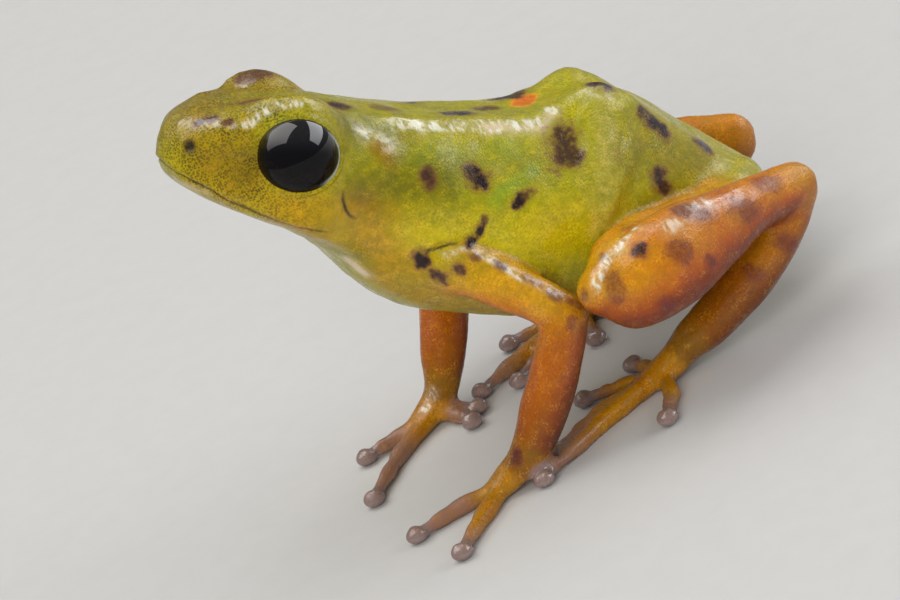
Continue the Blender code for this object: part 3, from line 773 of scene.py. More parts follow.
# Broad patches of the left side, mirrored on the right: a line, its reach, its tint and its strength.
PATCHES = [
    ([(5.0, 0.9, 14.6), (4.9, 1.8, 13.4)], 1.5, 0.51, 0.9),
    ([(4.0, 2.6, 11.6), (2.2, 2.9, 10.4), (1.0, 2.6, 9.2)], 1.1, 0.55, 0.9),
    ([(3.2, 1.0, 15.2), (1.5, 1.4, 14.0)], 0.9, 0.49, 0.8),
    ([(0.35, 2.4, 12.0), (0.2, 2.5, 11.5)], 0.42, 0.6, 0.7),
    ([(-3.9, 3.0, 9.05), (-3.3, 3.2, 9.02), (-2.6, 3.3, 8.98), (-2.2, 3.4, 8.8)], 0.3, 0.05, 0.62),
    ([(-0.3, 2.4, 11.2), (-1.6, 2.6, 10.6), (-4.0, 2.6, 9.8)], 0.6, 0.18, 0.6),
    ([(0.4, 2.9, 9.2), (-1.8, 3.6, 7.4), (-4.4, 3.6, 6.8)], 0.95, 0.37, 0.9),
    ([(1.6, 2.4, 7.8), (0.4, 2.4, 6.4), (-3.0, 2.4, 4.2), (-7.0, 2.2, 2.4)], 1.3, 0.55, 0.8),
    ([(-5.2, 3.9, 6.6), (-6.3, 3.6, 6.2)], 0.6, 0.42, 0.8),
    ([(-8.6, 1.8, 7.6), (-10.2, 1.0, 5.4)], 1.2, 0.36, 0.6),
]
# Painted light and shade: where the skin is drawn darker or lighter than its tint for how light falls on it,
# darker in creases, on the neck and under parts and lighter where it faces the light, likewise: a line, its
# reach and its shade.
PAINTED_LIGHT_AND_SHADE = [
    ([(5.3, 1.5, 14.2), (4.6, 2.2, 13.6)], 0.9, 0.6),
    ([(5.9, 0.5, 15.0), (4.4, 0.9, 15.3), (2.8, 1.2, 15.1)], 1.1, 0.72),
    ([(0.35, 2.4, 12.0), (0.2, 2.5, 11.5)], 0.42, 0.7),
    ([(-5.4, 3.9, 6.3), (-6.54, 3.21, 6.04), (-8.13, 2.71, 5.65), (-9.6, 2.55, 5.29)], 0.25, 0.6),
    ([(0.62, 3.15, 8.3), (0.1, 3.3, 8.4), (-0.6, 3.5, 8.15)], 0.2, 0.7),
    ([(3.9, 2.5, 12.2), (2.4, 3.0, 11.4)], 0.6, 1.08),
    ([(0.6, 2.9, 8.9), (-1.8, 3.6, 7.6), (-4.2, 3.6, 6.9)], 0.9, 1.25),
    ([(-0.4, 2.4, 11.0), (-2.0, 2.8, 10.2), (-4.2, 3.0, 9.2)], 0.6, 0.8),
    ([(1.5, 0.0, 7.0), (-3.0, 0.0, 3.6), (-8.0, 0.0, 1.9)], 2.2, 0.85),
    ([(1.2, 1.9, 13.2), (0.2, 2.0, 12.5), (-0.3, 2.1, 12.0)], 0.8, 0.62),
    ([(-7.5, 2.5, 7.7), (-9.5, 1.9, 6.1)], 1.0, 0.68),
    ([(3.6, 2.4, 10.0), (2.6, 2.6, 9.2)], 0.7, 0.7),
    ([(1.5, 2.9, 11.2), (0.4, 2.8, 10.8), (-0.9, 2.9, 10.1)], 0.85, 0.52),
]
# The edge of the brow, and ridges that are both wet and painted pale as a highlight: over the knees, and down
# the arms.
BROW = [(5.57, 0.8, 15.5), (4.8, 1.62, 15.22), (3.81, 1.94, 14.78), (2.71, 2.25, 14.93), (1.9, 2.5, 14.5)]
LEFT_ARM = [(0.05, 3.48, 8.05), (-0.6, 3.6, 7.95), (-1.05, 3.9, 7.5), (-1.77, 4.6, 6.4), (-2.5, 5.05, 5.5)]
LEFT_KNEE = [
    (-5.6, 5.9, 6.6),
    (-4.87, 6.05, 6.46),
    (-4.37, 6.26, 6.38),
    (-3.83, 6.58, 6.23),
    (-3.3, 6.9, 5.85),
]
RIGHT_KNEE = [(-6.2, -5.4, 6.3), (-4.9, -6.5, 6.15), (-3.8, -7.2, 5.75)]
RIGHT_ARM = [(-0.1, -3.8, 7.8), (-1.1, -4.7, 7.0), (-1.9, -5.6, 5.95)]
# Cream and pinkish places: painted highlights along the canthus, over the lids and on the rump fold, and the
# real cream line of the lower lip; a line, its reach and its strength.
PAINTED_SHEEN_AND_CREAM = [
    ([(5.3, 1.25, 15.25), (4.8, 1.62, 15.22), (4.38, 1.9, 14.97), (3.81, 1.94, 14.78)], 0.16, 0.34),
    ([(3.81, 1.94, 14.78), (3.33, 2.06, 14.93), (2.71, 2.25, 14.93), (2.12, 2.4, 14.72)], 0.19, 0.45),
    ([(6.55, 0.6, 13.8), (6.37, 1.25, 13.6), (6.0, 1.8, 13.35)], 0.24, 0.6),
    ([(-7.3, 1.7, 9.8), (-6.8, 2.4, 8.8), (-5.9, 3.1, 7.6), (-5.0, 3.6, 6.3)], 0.6, 0.26),
]
# Where the skin is wettest, likewise: a line, its reach and its strength.
WET = [
    ([(-0.7, 1.5, 12.2), (-1.09, 1.5, 11.96), (-3.2, 1.6, 10.9), (-5.5, 1.6, 9.94)], 0.48, 1.0),
    (BROW, 0.3, 0.7),
    ([(-6.8, 1.4, 10.4), (-7.6, 1.6, 9.9)], 0.5, 0.9),
    ([(0.3, 2.3, 12.2), (0.2, 2.5, 11.4)], 0.35, 0.3),
    ([(0.6, 2.0, 12.75), (0.0, 2.2, 11.9)], 0.3, 0.5),
]
LEFT_WET = [
    (LEFT_KNEE, 0.3, 0.7),
    ([(-6.0, 6.6, 6.2), (-7.4, 6.1, 6.35), (-9.5, 5.2, 5.6)], 0.45, 0.6),
    ([(0.05, 3.48, 8.05), (-0.9, 3.8, 7.7), (-1.77, 4.6, 6.4), (-2.5, 5.05, 5.5)], 0.3, 0.6),
]
RIGHT_WET = [
    ([(2.9, -1.2, 15.0), (2.55, -1.4, 15.05)], 0.25, 0.8),
    ([(1.1, -3.6, 1.15), (1.6, -3.6, 0.8)], 0.3, 0.5),
    (RIGHT_KNEE, 0.3, 0.6),
    ([(-6.9, -7.0, 6.0), (-8.0, -6.5, 6.1), (-10.2, -5.5, 5.3)], 0.45, 0.6),
    (RIGHT_ARM, 0.3, 0.6),
]
# The left side alone: painted glints on the neck, the real cream throat patch, and painted highlights along
# the back's ridge, over the knee, on the shank and down the arm.
LEFT_PAINTED_SHEEN_AND_CREAM = [
    ([(0.6, 2.0, 12.75), (0.0, 2.2, 11.9)], 0.35, 0.3),
    ([(2.8, 2.2, 9.1), (2.5, 2.1, 8.4)], 0.32, 1.0),
    ([(-0.8, 1.65, 12.1), (-2.0, 1.7, 11.4), (-3.6, 1.8, 10.6)], 0.26, 0.5),
    ([(-3.4, 1.85, 10.6), (-4.3, 1.9, 10.15), (-4.95, 2.0, 9.8), (-5.6, 1.65, 9.95)], 0.32, 0.75),
    (LEFT_KNEE, 0.18, 0.6),
    ([(-6.4, 6.6, 6.2), (-7.4, 6.1, 6.35), (-8.0, 5.7, 6.1)], 0.5, 0.4),
    (LEFT_ARM, 0.17, 0.45),
]
# The right side alone, all painted highlights: along the back's ridge, over the knee, on the shank, down the
# arm, on the lid and on the back of the hand.
RIGHT_PAINTED_SHEEN = [
    ([(-0.8, -1.65, 12.1), (-2.0, -1.6, 11.5), (-3.6, -1.65, 10.8), (-5.3, -1.6, 9.95)], 0.24, 0.4),
    (RIGHT_KNEE, 0.17, 0.6),
    ([(-6.9, -7.0, 6.0), (-8.0, -6.5, 6.1), (-8.6, -6.0, 5.9)], 0.5, 0.35),
    (RIGHT_ARM, 0.15, 0.5),
    ([(2.9, -1.2, 15.0), (2.6, -1.35, 15.05)], 0.22, 1.0),
    ([(1.1, -3.6, 1.15), (1.6, -3.6, 0.8)], 0.3, 0.45),
]
# Dark spots of the left side: the two ends of a spot (x, y, z, x, y, z), its half width, and how dark it is.
LEFT_SPOTS = [
    (-2.55, 0.74, 11.2, -3.0, 0.74, 11.05, 0.3, 0.9),
    (-3.8, 0.2, 10.75, -4.1, 0.2, 10.6, 0.25, 0.7),
    (0.8, 0.95, 13.5, 0.55, 0.95, 13.35, 0.22, 0.75),
    (-0.6, 0.5, 12.55, -0.9, 0.5, 12.4, 0.25, 0.5),
    (-0.66, 2.85, 10.6, -0.62, 2.9, 10.3, 0.2, 0.7),
    (-2.1, 3.0, 10.05, -2.1, 3.1, 9.65, 0.28, 1.0),
    (-2.85, 3.5, 8.42, -3.0, 3.5, 8.55, 0.16, 0.9),
    (-3.2, 3.5, 8.5, -3.5, 3.5, 8.6, 0.14, 0.7),
    (-5.45, 2.55, 9.35, -5.15, 2.8, 8.85, 0.42, 0.72),
    (-0.75, 3.5, 7.95, -0.9, 3.5, 8.1, 0.15, 0.9),
    (-1.2, 3.5, 8.15, -1.4, 3.5, 8.3, 0.12, 0.9),
    (-1.6, 3.45, 8.45, -1.65, 3.45, 8.55, 0.1, 0.6),
    (5.16, 1.24, 15.39, 4.7, 1.45, 15.33, 0.13, 0.75),
    (4.5, 1.8, 15.17, 4.3, 1.85, 15.1, 0.1, 0.6),
    (3.5, 0.98, 15.12, 2.9, 0.9, 14.94, 0.13, 0.45),
    (0.78, 3.1, 8.3, 0.8, 3.1, 8.1, 0.2, 1.0),
    (0.62, 3.25, 7.55, 0.45, 3.35, 7.4, 0.2, 0.95),
    (-0.05, 3.8, 7.55, -0.15, 3.8, 7.4, 0.14, 0.7),
    (-7.4, 1.3, 10.0, -7.6, 1.45, 9.75, 0.25, 0.8),
    (-8.3, 1.65, 8.5, -8.75, 1.95, 7.5, 0.22, 0.9),
    (-7.75, 2.65, 6.5, -7.8, 2.7, 6.1, 0.26, 0.8),
    (-6.6, 2.6, 8.0, -6.5, 2.75, 7.7, 0.2, 0.35),
    (-9.7, 1.35, 6.4, -10.0, 1.3, 6.0, 0.2, 0.8),
    (-7.2, 6.1, 6.4, -7.8, 6.3, 6.15, 0.3, 0.55),
    (-9.05, 5.7, 5.4, -9.35, 5.75, 5.2, 0.34, 0.5),
    (-10.3, 4.8, 5.35, -10.7, 4.7, 5.15, 0.26, 0.45),
    (-5.12, 6.78, 6.3, -5.22, 6.8, 6.2, 0.2, 0.8),
    (-6.25, 7.15, 5.8, -6.35, 7.15, 5.65, 0.3, 0.5),
    (-7.1, 7.0, 4.85, -7.15, 6.95, 4.7, 0.16, 0.55),
    (-6.7, 6.5, 3.85, -6.7, 6.35, 3.65, 0.22, 0.6),
    (-5.15, 7.15, 4.4, -5.2, 7.1, 4.25, 0.22, 0.45),
    (-3.95, 7.0, 5.9, -3.8, 7.1, 5.3, 0.2, 0.45),
    (-10.4, 4.1, 2.95, -10.5, 4.1, 2.75, 0.24, 0.5),
    (-9.0, 4.0, 2.45, -9.1, 4.0, 2.3, 0.22, 0.45),
    (1.05, 5.1, 1.4, 1.15, 5.15, 1.2, 0.16, 0.6),
    (-0.7, 3.85, 7.7, -0.85, 3.95, 7.6, 0.11, 0.55),
    (-1.25, 4.1, 7.15, -1.35, 4.25, 7.05, 0.14, 0.6),
    (-1.75, 4.5, 6.45, -2.1, 4.7, 6.0, 0.1, 0.5),
    (-2.35, 4.95, 5.65, -2.45, 5.0, 5.5, 0.17, 0.5),
    (-2.75, 5.2, 5.2, -2.95, 5.2, 4.9, 0.13, 0.45),
    (-2.5, 5.35, 4.7, -2.35, 5.4, 4.5, 0.12, 0.4),
    (-5.3, 5.35, 6.35, -5.5, 5.2, 6.35, 0.16, 0.6),
    (-4.2, 6.1, 6.25, -4.1, 6.2, 6.15, 0.17, 0.6),
    (-2.95, 6.6, 5.75, -3.0, 6.5, 5.6, 0.16, 0.5),
]
RIGHT_SPOTS = [
    (-1.6, -0.9, 11.6, -1.9, -0.95, 11.4, 0.28, 0.85),
    (-4.9, -1.1, 10.3, -5.3, -1.0, 10.1, 0.3, 0.8),
    (2.6, -1.5, 15.0, 2.1, -1.7, 14.9, 0.3, 0.6),
    (-0.9, -2.7, 10.6, -1.0, -2.8, 10.2, 0.3, 0.95),
    (-2.9, -3.3, 9.4, -3.3, -3.35, 9.2, 0.26, 0.9),
    (-4.6, -3.5, 7.9, -4.7, -3.55, 7.5, 0.34, 0.85),
    (-6.4, -2.6, 8.3, -6.6, -2.7, 7.9, 0.3, 0.8),
    (-1.4, -3.5, 8.0, -1.6, -3.5, 7.6, 0.2, 0.9),
    (-8.4, -1.6, 8.3, -8.8, -1.8, 7.6, 0.24, 0.9),
    (-9.6, -1.6, 6.3, -9.8, -1.6, 5.9, 0.22, 0.8),
    (-6.4, -7.3, 5.8, -6.8, -7.4, 5.6, 0.28, 0.55),
    (-8.0, -6.5, 5.6, -8.4, -6.4, 5.5, 0.32, 0.5),
    (-10.0, -5.6, 5.0, -10.3, -5.5, 4.9, 0.26, 0.45),
    (-5.3, -7.2, 6.1, -5.6, -7.3, 6.0, 0.22, 0.8),
    (-7.3, -7.3, 4.4, -7.5, -7.2, 4.2, 0.2, 0.55),
    (-1.1, -4.9, 6.8, -1.2, -5.1, 6.5, 0.16, 0.6),
    (-0.5, -5.4, 3.2, -0.3, -5.3, 2.9, 0.16, 0.5),
    (-11.0, -4.9, 2.9, -11.2, -4.9, 3.1, 0.24, 0.5),
]
# The one orange spot: its two ends, its reach, its tint and its shade.
ORANGE_SPOT = ([(-5.4, -0.35, 10.13), (-5.15, 0.1, 10.18)], 0.46, 0.83, 1.35)


def on_limb(points, rows):
    """How surely points are on a limb, from 0 to 1, and how far along it they are.

    A point is on it where its distance from the centre line is about the limb's own half thickness there.
    """
    rows = np.asarray(rows, float)
    line = smooth_rows(rows, np.linspace(0, len(rows) - 1, 24))
    apart, along = from_line(points, line[:, :3])
    half = np.interp(along, np.linspace(0, 1, len(line)), line[:, 3:5].mean(axis=1))
    return smooth_step(-apart / half, -1.32, -1.1), along


def patched(values, patches, power=4):
    """Values drawn to each patch's own value, by its strength times a bell of the distance from its line."""
    for line, reach, value, strength in patches:
        share = strength * bell(from_line(skin, line)[0], reach, power)
        values = values + (value - values) * share
    return values


def mirrored(patches):
    """Each patch, then its mirror image."""
    return [(line, *rest) for patch, *rest in patches for line in both_sides(patch)]


tint = patched(np.full(len(skin), 0.29), mirrored(PATCHES))
# Painted light and shade, drawn from the patches above.
painted_shade_and_tone = patched(np.ones(len(skin)), mirrored([(*patch, 1.0) for patch in PAINTED_LIGHT_AND_SHADE]), 2)
# The skin's painted highlights with its real cream marks, and where it is wettest.
sheen_and_cream, wet = (
    patched(np.zeros(len(skin)), [(line, reach, 1.0, strength) for line, reach, strength in patches], 2)
    for patches in (mirrored(PAINTED_SHEEN_AND_CREAM) + LEFT_PAINTED_SHEEN_AND_CREAM + RIGHT_PAINTED_SHEEN, mirrored(WET) + LEFT_WET + RIGHT_WET)
)
limb_part = np.zeros(len(skin))
under = smooth_step(-outward[:, 2], -0.3, 0.7)
for name, rows in LIMBS.items():
    side, part = name.split(" ", 1)
    tints, redder, painted_shade_under, light = LIMB_LOOKS[part]
    share, along = on_limb(skin, rows)
    if part in ("upper arm", "thigh"):
        share = share * smooth_step(along, 0.1, 0.35)
    value = np.interp(along, np.linspace(0, 1, len(tints)), tints) + redder * under
    tint = tint + (value - tint) * share
    # Painted shade: the underside of the limb darker, and its lightness lowered.
    painted_shade_and_tone = painted_shade_and_tone + (light - painted_shade_under * under - painted_shade_and_tone) * share
    limb_part = np.maximum(limb_part, share)
for rows in KNEES:
    share, along = on_limb(skin, rows)
    share = share * (1 - limb_part)
    tint = tint + (KNEE_TINT + 0.2 * under - tint) * share
    limb_part = np.maximum(limb_part, share)

tint = patched(tint, ELBOWS, 2)

digit = np.zeros(len(skin))
foot = np.zeros(len(skin))
for rows in PADS:
    foot = np.maximum(foot, smooth_step(-from_line(skin, np.array(rows)[:, :3])[0], -1.15, -0.55))
for (root, bend, tip, half), pink in zip(DIGITS, PINK_FROM):
    apart, along = from_line(skin, [root, bend, tip])
    digit = np.maximum(digit, smooth_step(-apart, -0.6, -0.42) * smooth_step(along, pink, pink + 0.35))
    foot = np.maximum(foot, smooth_step(-apart, -0.8, -0.5))
tint = tint + (FOOT_TINT - tint) * foot
# Painted shade: the hands and feet darker, and the limbs darker towards the floor.
painted_shade_and_tone = painted_shade_and_tone + (0.68 - painted_shade_and_tone) * foot
painted_shade_and_tone = painted_shade_and_tone * (1 - 0.42 * smooth_step(-skin[:, 2], -3.6, -1.2) * limb_part)
pale = digit * 0.9
tips = smooth_step(near(skin, [(*centre, 0.5) for centre, forward, across in disc_tips]), 0.2, 0.6)
scutes = [
    (*(centre + (0, 0, DISC[2]) + across * out + forward * SCUTE[0]), SCUTE[2])
    for centre, forward, across in disc_tips
    for out in (SCUTE[1], -SCUTE[1])
]
sheen_and_cream = np.maximum(sheen_and_cream, 0.45 * near(skin, scutes))
wet = np.maximum(wet, 0.7 * tips)

spots = np.full(len(skin), -1.0)
darkness = np.zeros(len(skin))
for *ends, half, strength in LEFT_SPOTS + RIGHT_SPOTS:
    inside = 1 - from_line(skin, [ends[:3], ends[3:]])[0] / (half * 1.2)
    darkness = np.where(inside > spots, strength, darkness)
    spots = np.maximum(spots, inside)
line, reach, orange_tint, orange_shade = ORANGE_SPOT
orange = smooth_step(1 - from_line(skin, line)[0] / reach, -0.2, 0.3)
tint = tint + (orange_tint - tint) * orange
# The orange spot's own lightness is set in the same field.
painted_shade_and_tone = painted_shade_and_tone + (orange_shade - painted_shade_and_tone) * orange

# Painted shade in the recesses: the mouth line, the edge of the eardrum, the crease over the arm and the
# nostrils.
painted_recess_shade = bell(from_mouth, 0.045) * fade * 0.8
for side in (1, -1):
    for line in (TYMPANUM_EDGE, ARM_CREASE):
        edge, along = from_line(skin, on_skin(sided(line, side)))
        painted_recess_shade = np.maximum(painted_recess_shade, bell(edge, 0.065) * np.sin(math.pi * along) ** 0.5)
    nostril = apart_from(skin, sided(NOSTRIL, side))
    painted_recess_shade = np.maximum(painted_recess_shade, bell(nostril, 0.27, 4) * 0.9)
stipple = smooth_step(-apart_from(skin, STIPPLED), -5.4, -2.6)
stipple = stipple * (0.55 + 0.45 * smooth_step(step, -0.6, 0.0))

MARKINGS = {
    "tint": tint,
    "painted_shade_and_tone": painted_shade_and_tone,
    "spots": spots,
    "darkness": darkness,
    "pale": pale,
    "tips": tips,
    "sheen_and_cream": sheen_and_cream,
    "wet": wet,
    "painted_recess_shade": painted_recess_shade,
    "stipple": stipple,
}


def finish_piece(mesh, name, points, markings):
    """An object of the mesh at the model's place, smooth shaded, with a number for each point by name."""
    put(mesh, (points - MIDDLE) * MM)
    mesh.shade_smooth()
    for mark, values in markings.items():
        kept = mesh.attributes.new(mark, "FLOAT", "POINT")
        kept.data.foreach_set("value", values.astype(np.float32))
    return new_object(name, mesh)


frog_skin = finish_piece(mesh, "frog_skin", skin, MARKINGS)


def new_finish(name):
    """A material of some name and its tree of nodes."""
    finish = bpy.data.materials.new(name)
    finish.use_nodes = True
    return finish, finish.node_tree


def fill(tree, made, inputs):
    """A node's inputs set to values or joined to other nodes' outputs."""
    for name, value in inputs.items():
        if isinstance(value, bpy.types.NodeSocket):
            tree.links.new(value, made.inputs[name])
        else:
            made.inputs[name].default_value = value


def add(tree, kind, inputs=None, **settings):
    """A node with its settings and inputs."""
    made = tree.nodes.new(kind)
    for name, value in settings.items():
        setattr(made, name, value)
    fill(tree, made, inputs or {})
    return made


def field(tree, name):
    """The output of a number held at each point."""
    return add(tree, "ShaderNodeAttribute", attribute_name=name).outputs["Fac"]


def millimetres(tree):
    """The place on the object, in millimetres."""
    place = add(tree, "ShaderNodeTexCoord").outputs["Object"]
    return add(tree, "ShaderNodeMapping", {"Vector": place, "Scale": (1000.0,) * 3}).outputs[0]


def maths(tree, operation, *values, clamp=False):
    """The result of a sum on numbers or outputs."""
    made = add(tree, "ShaderNodeMath", dict(enumerate(values)), operation=operation, use_clamp=clamp)
    return made.outputs[0]


def times(tree, first, *others):
    """The product of numbers or outputs."""
    for other in others:
        first = maths(tree, "MULTIPLY", first, other)
    return first


def swung(tree, value, wave, swing, clamp=False):
    """A value moved by a wave: half of the swing down where the wave is 0, and half up where it is 1."""
    return maths(tree, "MULTIPLY_ADD", wave, swing, maths(tree, "ADD", value, -swing / 2), clamp=clamp)


def between(tree, value, low, high, start=0.0, end=1.0):
    """A value's place between low and high, eased, as a number from start to end."""
    inputs = {"Value": value, "From Min": low, "From Max": high, "To Min": start, "To Max": end}
    return add(tree, "ShaderNodeMapRange", inputs, interpolation_type="SMOOTHSTEP").outputs[0]


def blend(tree, share, first, second, kind="MIX"):
    """Two colours mixed by a share."""
    inputs = {0: share, 6: first, 7: second}
    return add(tree, "ShaderNodeMix", inputs, data_type="RGBA", blend_type=kind).outputs[2]


def noise(tree, where, scale, detail=2.0):
    """Smooth noise of a scale in cycles per millimetre."""
    inputs = {"Vector": where, "Scale": scale, "Detail": detail, "Roughness": 0.55}
    return add(tree, "ShaderNodeTexNoise", inputs).outputs["Fac"]


TINTS = (
    (0.0, (0.13, 0.31, 0.07)),
    (0.14, (0.29, 0.345, 0.01)),
    (0.28, (0.38, 0.345, 0.003)),
    (0.37, (0.46, 0.37, 0.001)),
    (0.5, (0.46, 0.29, 0.001)),
    (0.62, (0.64, 0.31, 0.004)),
    (0.72, (0.64, 0.23, 0.004)),
    (0.82, (0.56, 0.14, 0.002)),
    (0.9, (0.47, 0.08, 0.001)),
    (1.0, (0.3, 0.04, 0.001)),
)
SPOT_BROWN = (0.016, 0.006, 0.006, 1.0)
BLOTCH_BROWN = (0.12, 0.017, 0.024, 1.0)
DIGIT_PINK = (0.25, 0.13, 0.092, 1.0)
DISC_GREY = (0.23, 0.165, 0.155, 1.0)
CREAM_AND_SHEEN = (0.7, 0.56, 0.36, 1.0)
GLINT_WHITE = (0.86, 0.85, 0.72, 1.0)
RECESS_SHADE_DARK = (0.016, 0.007, 0.007, 1.0)
GRAIN_DARK = (0.045, 0.03, 0.003, 1.0)
GRAIN_GOLD = (0.66, 0.5, 0.015, 1.0)

skin_finish, tree = new_finish("moist_skin")
place = millimetres(tree)
mark = {name: field(tree, name) for name in MARKINGS}

mottle = noise(tree, place, 0.9, 4.0)
patchy = noise(tree, place, 3.2, 3.0)
tint_here = swung(tree, swung(tree, mark["tint"], mottle, 0.2), patchy, 0.12, clamp=True)
ramp = add(tree, "ShaderNodeValToRGB", {"Fac": tint_here})
for position, colour in TINTS[1:-1]:
    ramp.color_ramp.elements.new(position)
for element, (position, colour) in zip(ramp.color_ramp.elements, TINTS):
    element.position = position
    element.color = (*colour, 1.0)
# The painted light and shade held at the points, with a cloudy random tone, multiply the colour.
cloud = maths(tree, "MULTIPLY_ADD", patchy, 0.9, 0.53)
shade_here = maths(tree, "MULTIPLY", mark["painted_shade_and_tone"], cloud)
shade_here = add(tree, "ShaderNodeCombineColor", {"Red": shade_here, "Green": shade_here, "Blue": shade_here})
colour = blend(tree, 1.0, ramp.outputs["Color"], shade_here.outputs[0], "MULTIPLY")

cells = add(tree, "ShaderNodeTexVoronoi", {"Vector": place, "Scale": 12.0, "Randomness": 0.7})
cells = cells.outputs["Distance"]
coarse = between(tree, noise(tree, place, 1.6, 3.0), 0.35, 0.62)
pepper = times(tree, between(tree, cells, 0.56, 0.38), mark["stipple"])
pepper = times(tree, pepper, maths(tree, "MULTIPLY_ADD", coarse, 0.35, 0.45))
net = times(tree, between(tree, cells, 0.4, 0.75), maths(tree, "MULTIPLY_ADD", coarse, 0.18, 0.1))
net = times(tree, net, maths(tree, "SUBTRACT", 1.0, mark["stipple"]))
gold = times(tree, between(tree, patchy, 0.45, 0.7, 0.0, 0.35), between(tree, cells, 0.5, 0.2))

# Cream painted as highlights on the wet ridges, and as the real cream marks of the lip, throat and scutes.
sheen_and_cream = times(
    tree,
    swung(tree, mark["sheen_and_cream"], patchy, 0.9, clamp=True),
    between(tree, mark["sheen_and_cream"], 0.02, 0.3),
    between(tree, mark["sheen_and_cream"], 0.45, 0.8, 0.45, 1.0),
)
# Painted glints: white flecks where the skin is wet and holds painted highlights, as broken highlights on its
# granules.
combed = add(tree, "ShaderNodeMapping", {"Vector": place, "Scale": (1.0, 0.4, 0.4)}).outputs[0]
flecks = times(
    tree,
    between(tree, noise(tree, combed, 5.0, 3.0), 0.46, 0.62),
    between(tree, mark["sheen_and_cream"], 0.1, 0.45, 0.0, 0.75),
    between(tree, mark["wet"], 0.15, 0.5),
)
pink = times(tree, mark["pale"], between(tree, patchy, 0.2, 0.6, 0.6, 1.0))
grey = times(tree, mark["tips"], maths(tree, "SUBTRACT", 0.85, mark["sheen_and_cream"]))

ragged = swung(tree, swung(tree, mark["spots"], patchy, 2.0), noise(tree, place, 1.7), 1.3)
fine = noise(tree, place, 5.5)
blotch = times(
    tree,
    between(tree, ragged, -0.8, 0.4),
    between(tree, mark["darkness"], 0.1, 0.8, 0.5, 0.95),
    between(tree, fine, 0.3, 0.55, 0.7, 1.0),
    0.85,
)
dark = times(
    tree,
    between(tree, ragged, -0.1, 0.6),
    between(tree, mark["darkness"], 0.4, 0.9),
    between(tree, fine, 0.3, 0.5, 0.72, 1.0),
)
# The paints laid over the colour in order, among them the cream and white of painted highlights and the dark
# of painted shade in the recesses.
for share, paint in (
    (pepper, GRAIN_DARK),
    (net, GRAIN_DARK),
    (gold, GRAIN_GOLD),
    (sheen_and_cream, CREAM_AND_SHEEN),
    (flecks, GLINT_WHITE),
    (pink, DIGIT_PINK),
    (grey, DISC_GREY),
    (blotch, BLOTCH_BROWN),
    (dark, SPOT_BROWN),
    (mark["painted_recess_shade"], RECESS_SHADE_DARK),
):
    colour = blend(tree, share, colour, paint)

height = times(tree, cells, cells, -1.1)
height = maths(tree, "MULTIPLY_ADD", noise(tree, place, 5.0, 3.0), 0.9, height)
height = maths(tree, "MULTIPLY_ADD", noise(tree, place, 1.8, 3.0), 2.0, height)
granules = times(tree, noise(tree, place, 6.0, 1.0), maths(tree, "MULTIPLY_ADD", mark["wet"], 3.0, 0.4))
height = maths(tree, "ADD", height, granules)
damp = noise(tree, place, 0.8, 4.0)
broken = times(tree, between(tree, noise(tree, place, 4.2, 3.0), 0.4, 0.54), between(tree, damp, 0.34, 0.46))
wet = times(tree, mark["wet"], maths(tree, "MULTIPLY_ADD", broken, 0.9, 0.1))
bump = add(tree, "ShaderNodeBump", {"Height": height, "Strength": 0.6, "Distance": 0.000022}).outputs[0]
fill(tree, tree.nodes["Principled BSDF"], {
    "Base Color": colour,
    "Normal": bump,
    "Coat Weight": maths(tree, "MAXIMUM", wet, between(tree, damp, 0.42, 0.62, 0.01, 0.1)),
    "Roughness": between(tree, damp, 0.38, 0.62, 0.38, 0.24),
    "Coat Roughness": 0.12,
    "Coat IOR": 2.2,
    "Specular IOR Level": 0.42,
    "Subsurface Weight": 0.12,
    "Subsurface Radius": (1.0, 0.45, 0.12),
    "Subsurface Scale": 0.00012,
})
frog_skin.data.materials.append(skin_finish)
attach(frog_skin, "root")
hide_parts(*[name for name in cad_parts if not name.startswith("eye_")])

# The eyes.
# Glossy black balls held by the lids, with a dark brown iris and a thin pale ring that shows at the rear
# corner. The tear film is thickest over the upper half.
EYE_BLACK = (0.004, 0.004, 0.005, 1.0)
EYE_BROWN = (0.01, 0.006, 0.004, 1.0)
RING_PALE = (0.5, 0.56, 0.6, 1.0)


def eyeball(side):
    """A sphere as rings about where the eye looks: x, y, z are cosines and sines of two angles."""
    corner, up, look = eye_frame(side)
    down = np.linspace(0, math.pi, 64)[1:-1, None, None]
    turn = full_turn(96)[None, :, None]
    unit = look * np.cos(down) + np.sin(down) * (corner * np.cos(turn) + up * np.sin(turn))
    return closed_rings(unit, look, -look) * EYE_RADIUS + sided(EYE_CENTRE, side)


eye_finish, tree = new_finish("eye_black")
flecks = between(tree, noise(tree, millimetres(tree), 6.0, 4.0), 0.45, 0.7)
colour = blend(tree, times(tree, field(tree, "iris"), flecks), EYE_BLACK, EYE_BROWN)
fill(tree, tree.nodes["Principled BSDF"], {
    "Base Color": blend(tree, field(tree, "ring"), colour, RING_PALE),
    "Coat Weight": field(tree, "wet"),
    "Roughness": 0.04,
    "Specular IOR Level": 0.16,
    "Coat IOR": 1.65,
    "Coat Roughness": 0.02,
})

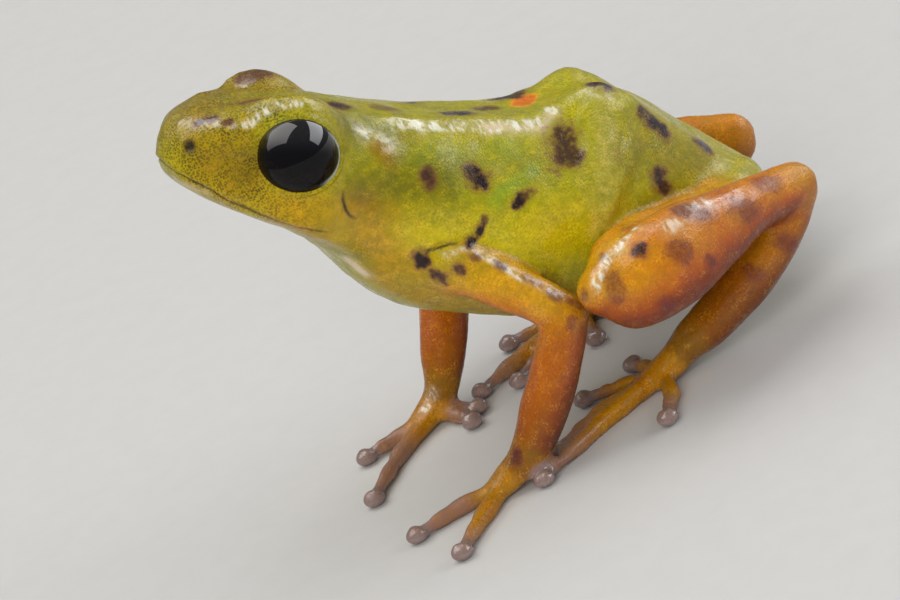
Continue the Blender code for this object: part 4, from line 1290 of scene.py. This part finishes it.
for name, side in (("left", 1), ("right", -1)):
    rings = eyeball(side)
    points = rings.reshape(-1, 3)
    faces = ring_quads(*rings.shape[:2])
    ball = skin_mesh(points, faces)
    work = bmesh.new()
    work.from_mesh(ball)
    bmesh.ops.remove_doubles(work, verts=work.verts, dist=0.0001)
    bmesh.ops.recalc_face_normals(work, faces=work.faces)
    work.to_mesh(ball)
    work.free()
    points = places_of(ball)
    corner, up, look = eye_frame(side)
    apart, past = in_eye(points, side)
    away = (points - sided(EYE_CENTRE, side)) / apart[:, None]
    rear = smooth_step(-(away @ corner), 0.45, 0.85)
    rear = rear * smooth_step(-(away @ up), -0.75, -0.2)
    ring = smooth_step(past, -0.17, -0.1) * rear
    iris = smooth_step(past, -0.8, -0.5)
    wet = smooth_step(away @ up, 0.02, 0.55)
    piece = finish_piece(ball, "eyeball_" + name, points, {"ring": ring, "iris": iris, "wet": wet})
    piece.data.materials.append(eye_finish)
    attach(piece, "root")
    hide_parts("eye_" + name)

# The floor.
# A plain pale sheet that the frog stands on.
floor_mesh = bpy.data.meshes.new("floor")
FLOOR = 1.5
corners = [(FLOOR * x, FLOOR * y, 0) for x, y in ((-1, -1), (1, -1), (1, 1), (-1, 1))]
floor_mesh.from_pydata(corners, [], [(0, 1, 2, 3)])
floor = new_object("floor", floor_mesh)
floor_finish, tree = new_finish("pale_paper")
fibre = noise(tree, millimetres(tree), 0.9, 3.0)
paper = blend(tree, fibre, (0.56, 0.555, 0.54, 1.0), (0.6, 0.595, 0.58, 1.0))
fill(tree, tree.nodes["Principled BSDF"], {"Base Color": paper, "Roughness": 0.8})
floor_mesh.materials.append(floor_finish)

# The light and the camera.
# Two soft boxes, one overhead and one low behind the frog, which the eye reflects, a wide soft fill from the
# camera's side, and a dim even surround.
VIEW_RIGHT = np.array((-0.861, 0.32, -0.395))
VIEW_UP = np.array((-0.477, -0.24, 0.845))
VIEW_BACK = np.array((0.176, 0.917, 0.359))
LOOK_AT = np.array((3.272, 0.8, 5.61)) * MM
VIEW_DISTANCE = 0.18
FILM_WIDTH = 36.0
LENS_LENGTH = 216.0


def turn_to(thing, right, up, back):
    """A thing turned so that its own three directions are these."""
    thing.rotation_mode = "QUATERNION"
    thing.rotation_quaternion = mathutils.Matrix(np.stack([right, up, back], axis=1).tolist()).to_quaternion()


def soft_box(name, towards, along, distance, wide, high, power, colour):
    """A rectangle of light that faces the frog's middle from a direction, with its width along another."""
    light = bpy.data.lights.new(name, "AREA")
    light.shape = "RECTANGLE"
    light.size, light.size_y = wide, high
    light.energy = power
    light.color = colour
    lamp = new_object(name, light)
    back = np.array(towards) / np.linalg.norm(towards)
    right = np.array(along) - back * np.dot(along, back)
    right /= np.linalg.norm(right)
    lamp.location = mathutils.Vector(back * distance + (0, 0, 0.008))
    turn_to(lamp, right, np.cross(back, right), back)
    return lamp


soft_box("overhead", (0.24, -0.3, 0.92), (0.55, -0.75, 0.0), 0.3, 0.36, 0.36, 0.76, (1.0, 0.98, 0.95))
soft_box("behind", (-0.85, 0.02, 0.42), (0.0, 1.0, 0.0), 0.32, 0.44, 0.17, 0.64, (0.96, 0.98, 1.0))
fill_light = soft_box("fill", (0.45, 0.8, 0.42), (1.0, 0.0, 0.0), 0.45, 0.3, 0.3, 1.4, (1.0, 0.98, 0.96))
fill_light.visible_glossy = False

world = bpy.data.worlds.new("surround")
world.use_nodes = True
fill(world.node_tree, world.node_tree.nodes["Background"], {"Color": (0.8, 0.83, 0.88, 1.0), "Strength": 0.2})
bpy.context.scene.world = world
bpy.context.scene.view_settings.view_transform = "Standard"

camera_data = bpy.data.cameras.new("camera")
camera_data.sensor_width = FILM_WIDTH
camera_data.lens = LENS_LENGTH
camera_data.clip_start = 0.001
camera_data.clip_end = 20.0
camera = new_object("camera", camera_data)
turn_to(camera, VIEW_RIGHT, VIEW_UP, VIEW_BACK)
camera.location = LOOK_AT + VIEW_BACK * VIEW_DISTANCE
bpy.context.scene.camera = camera
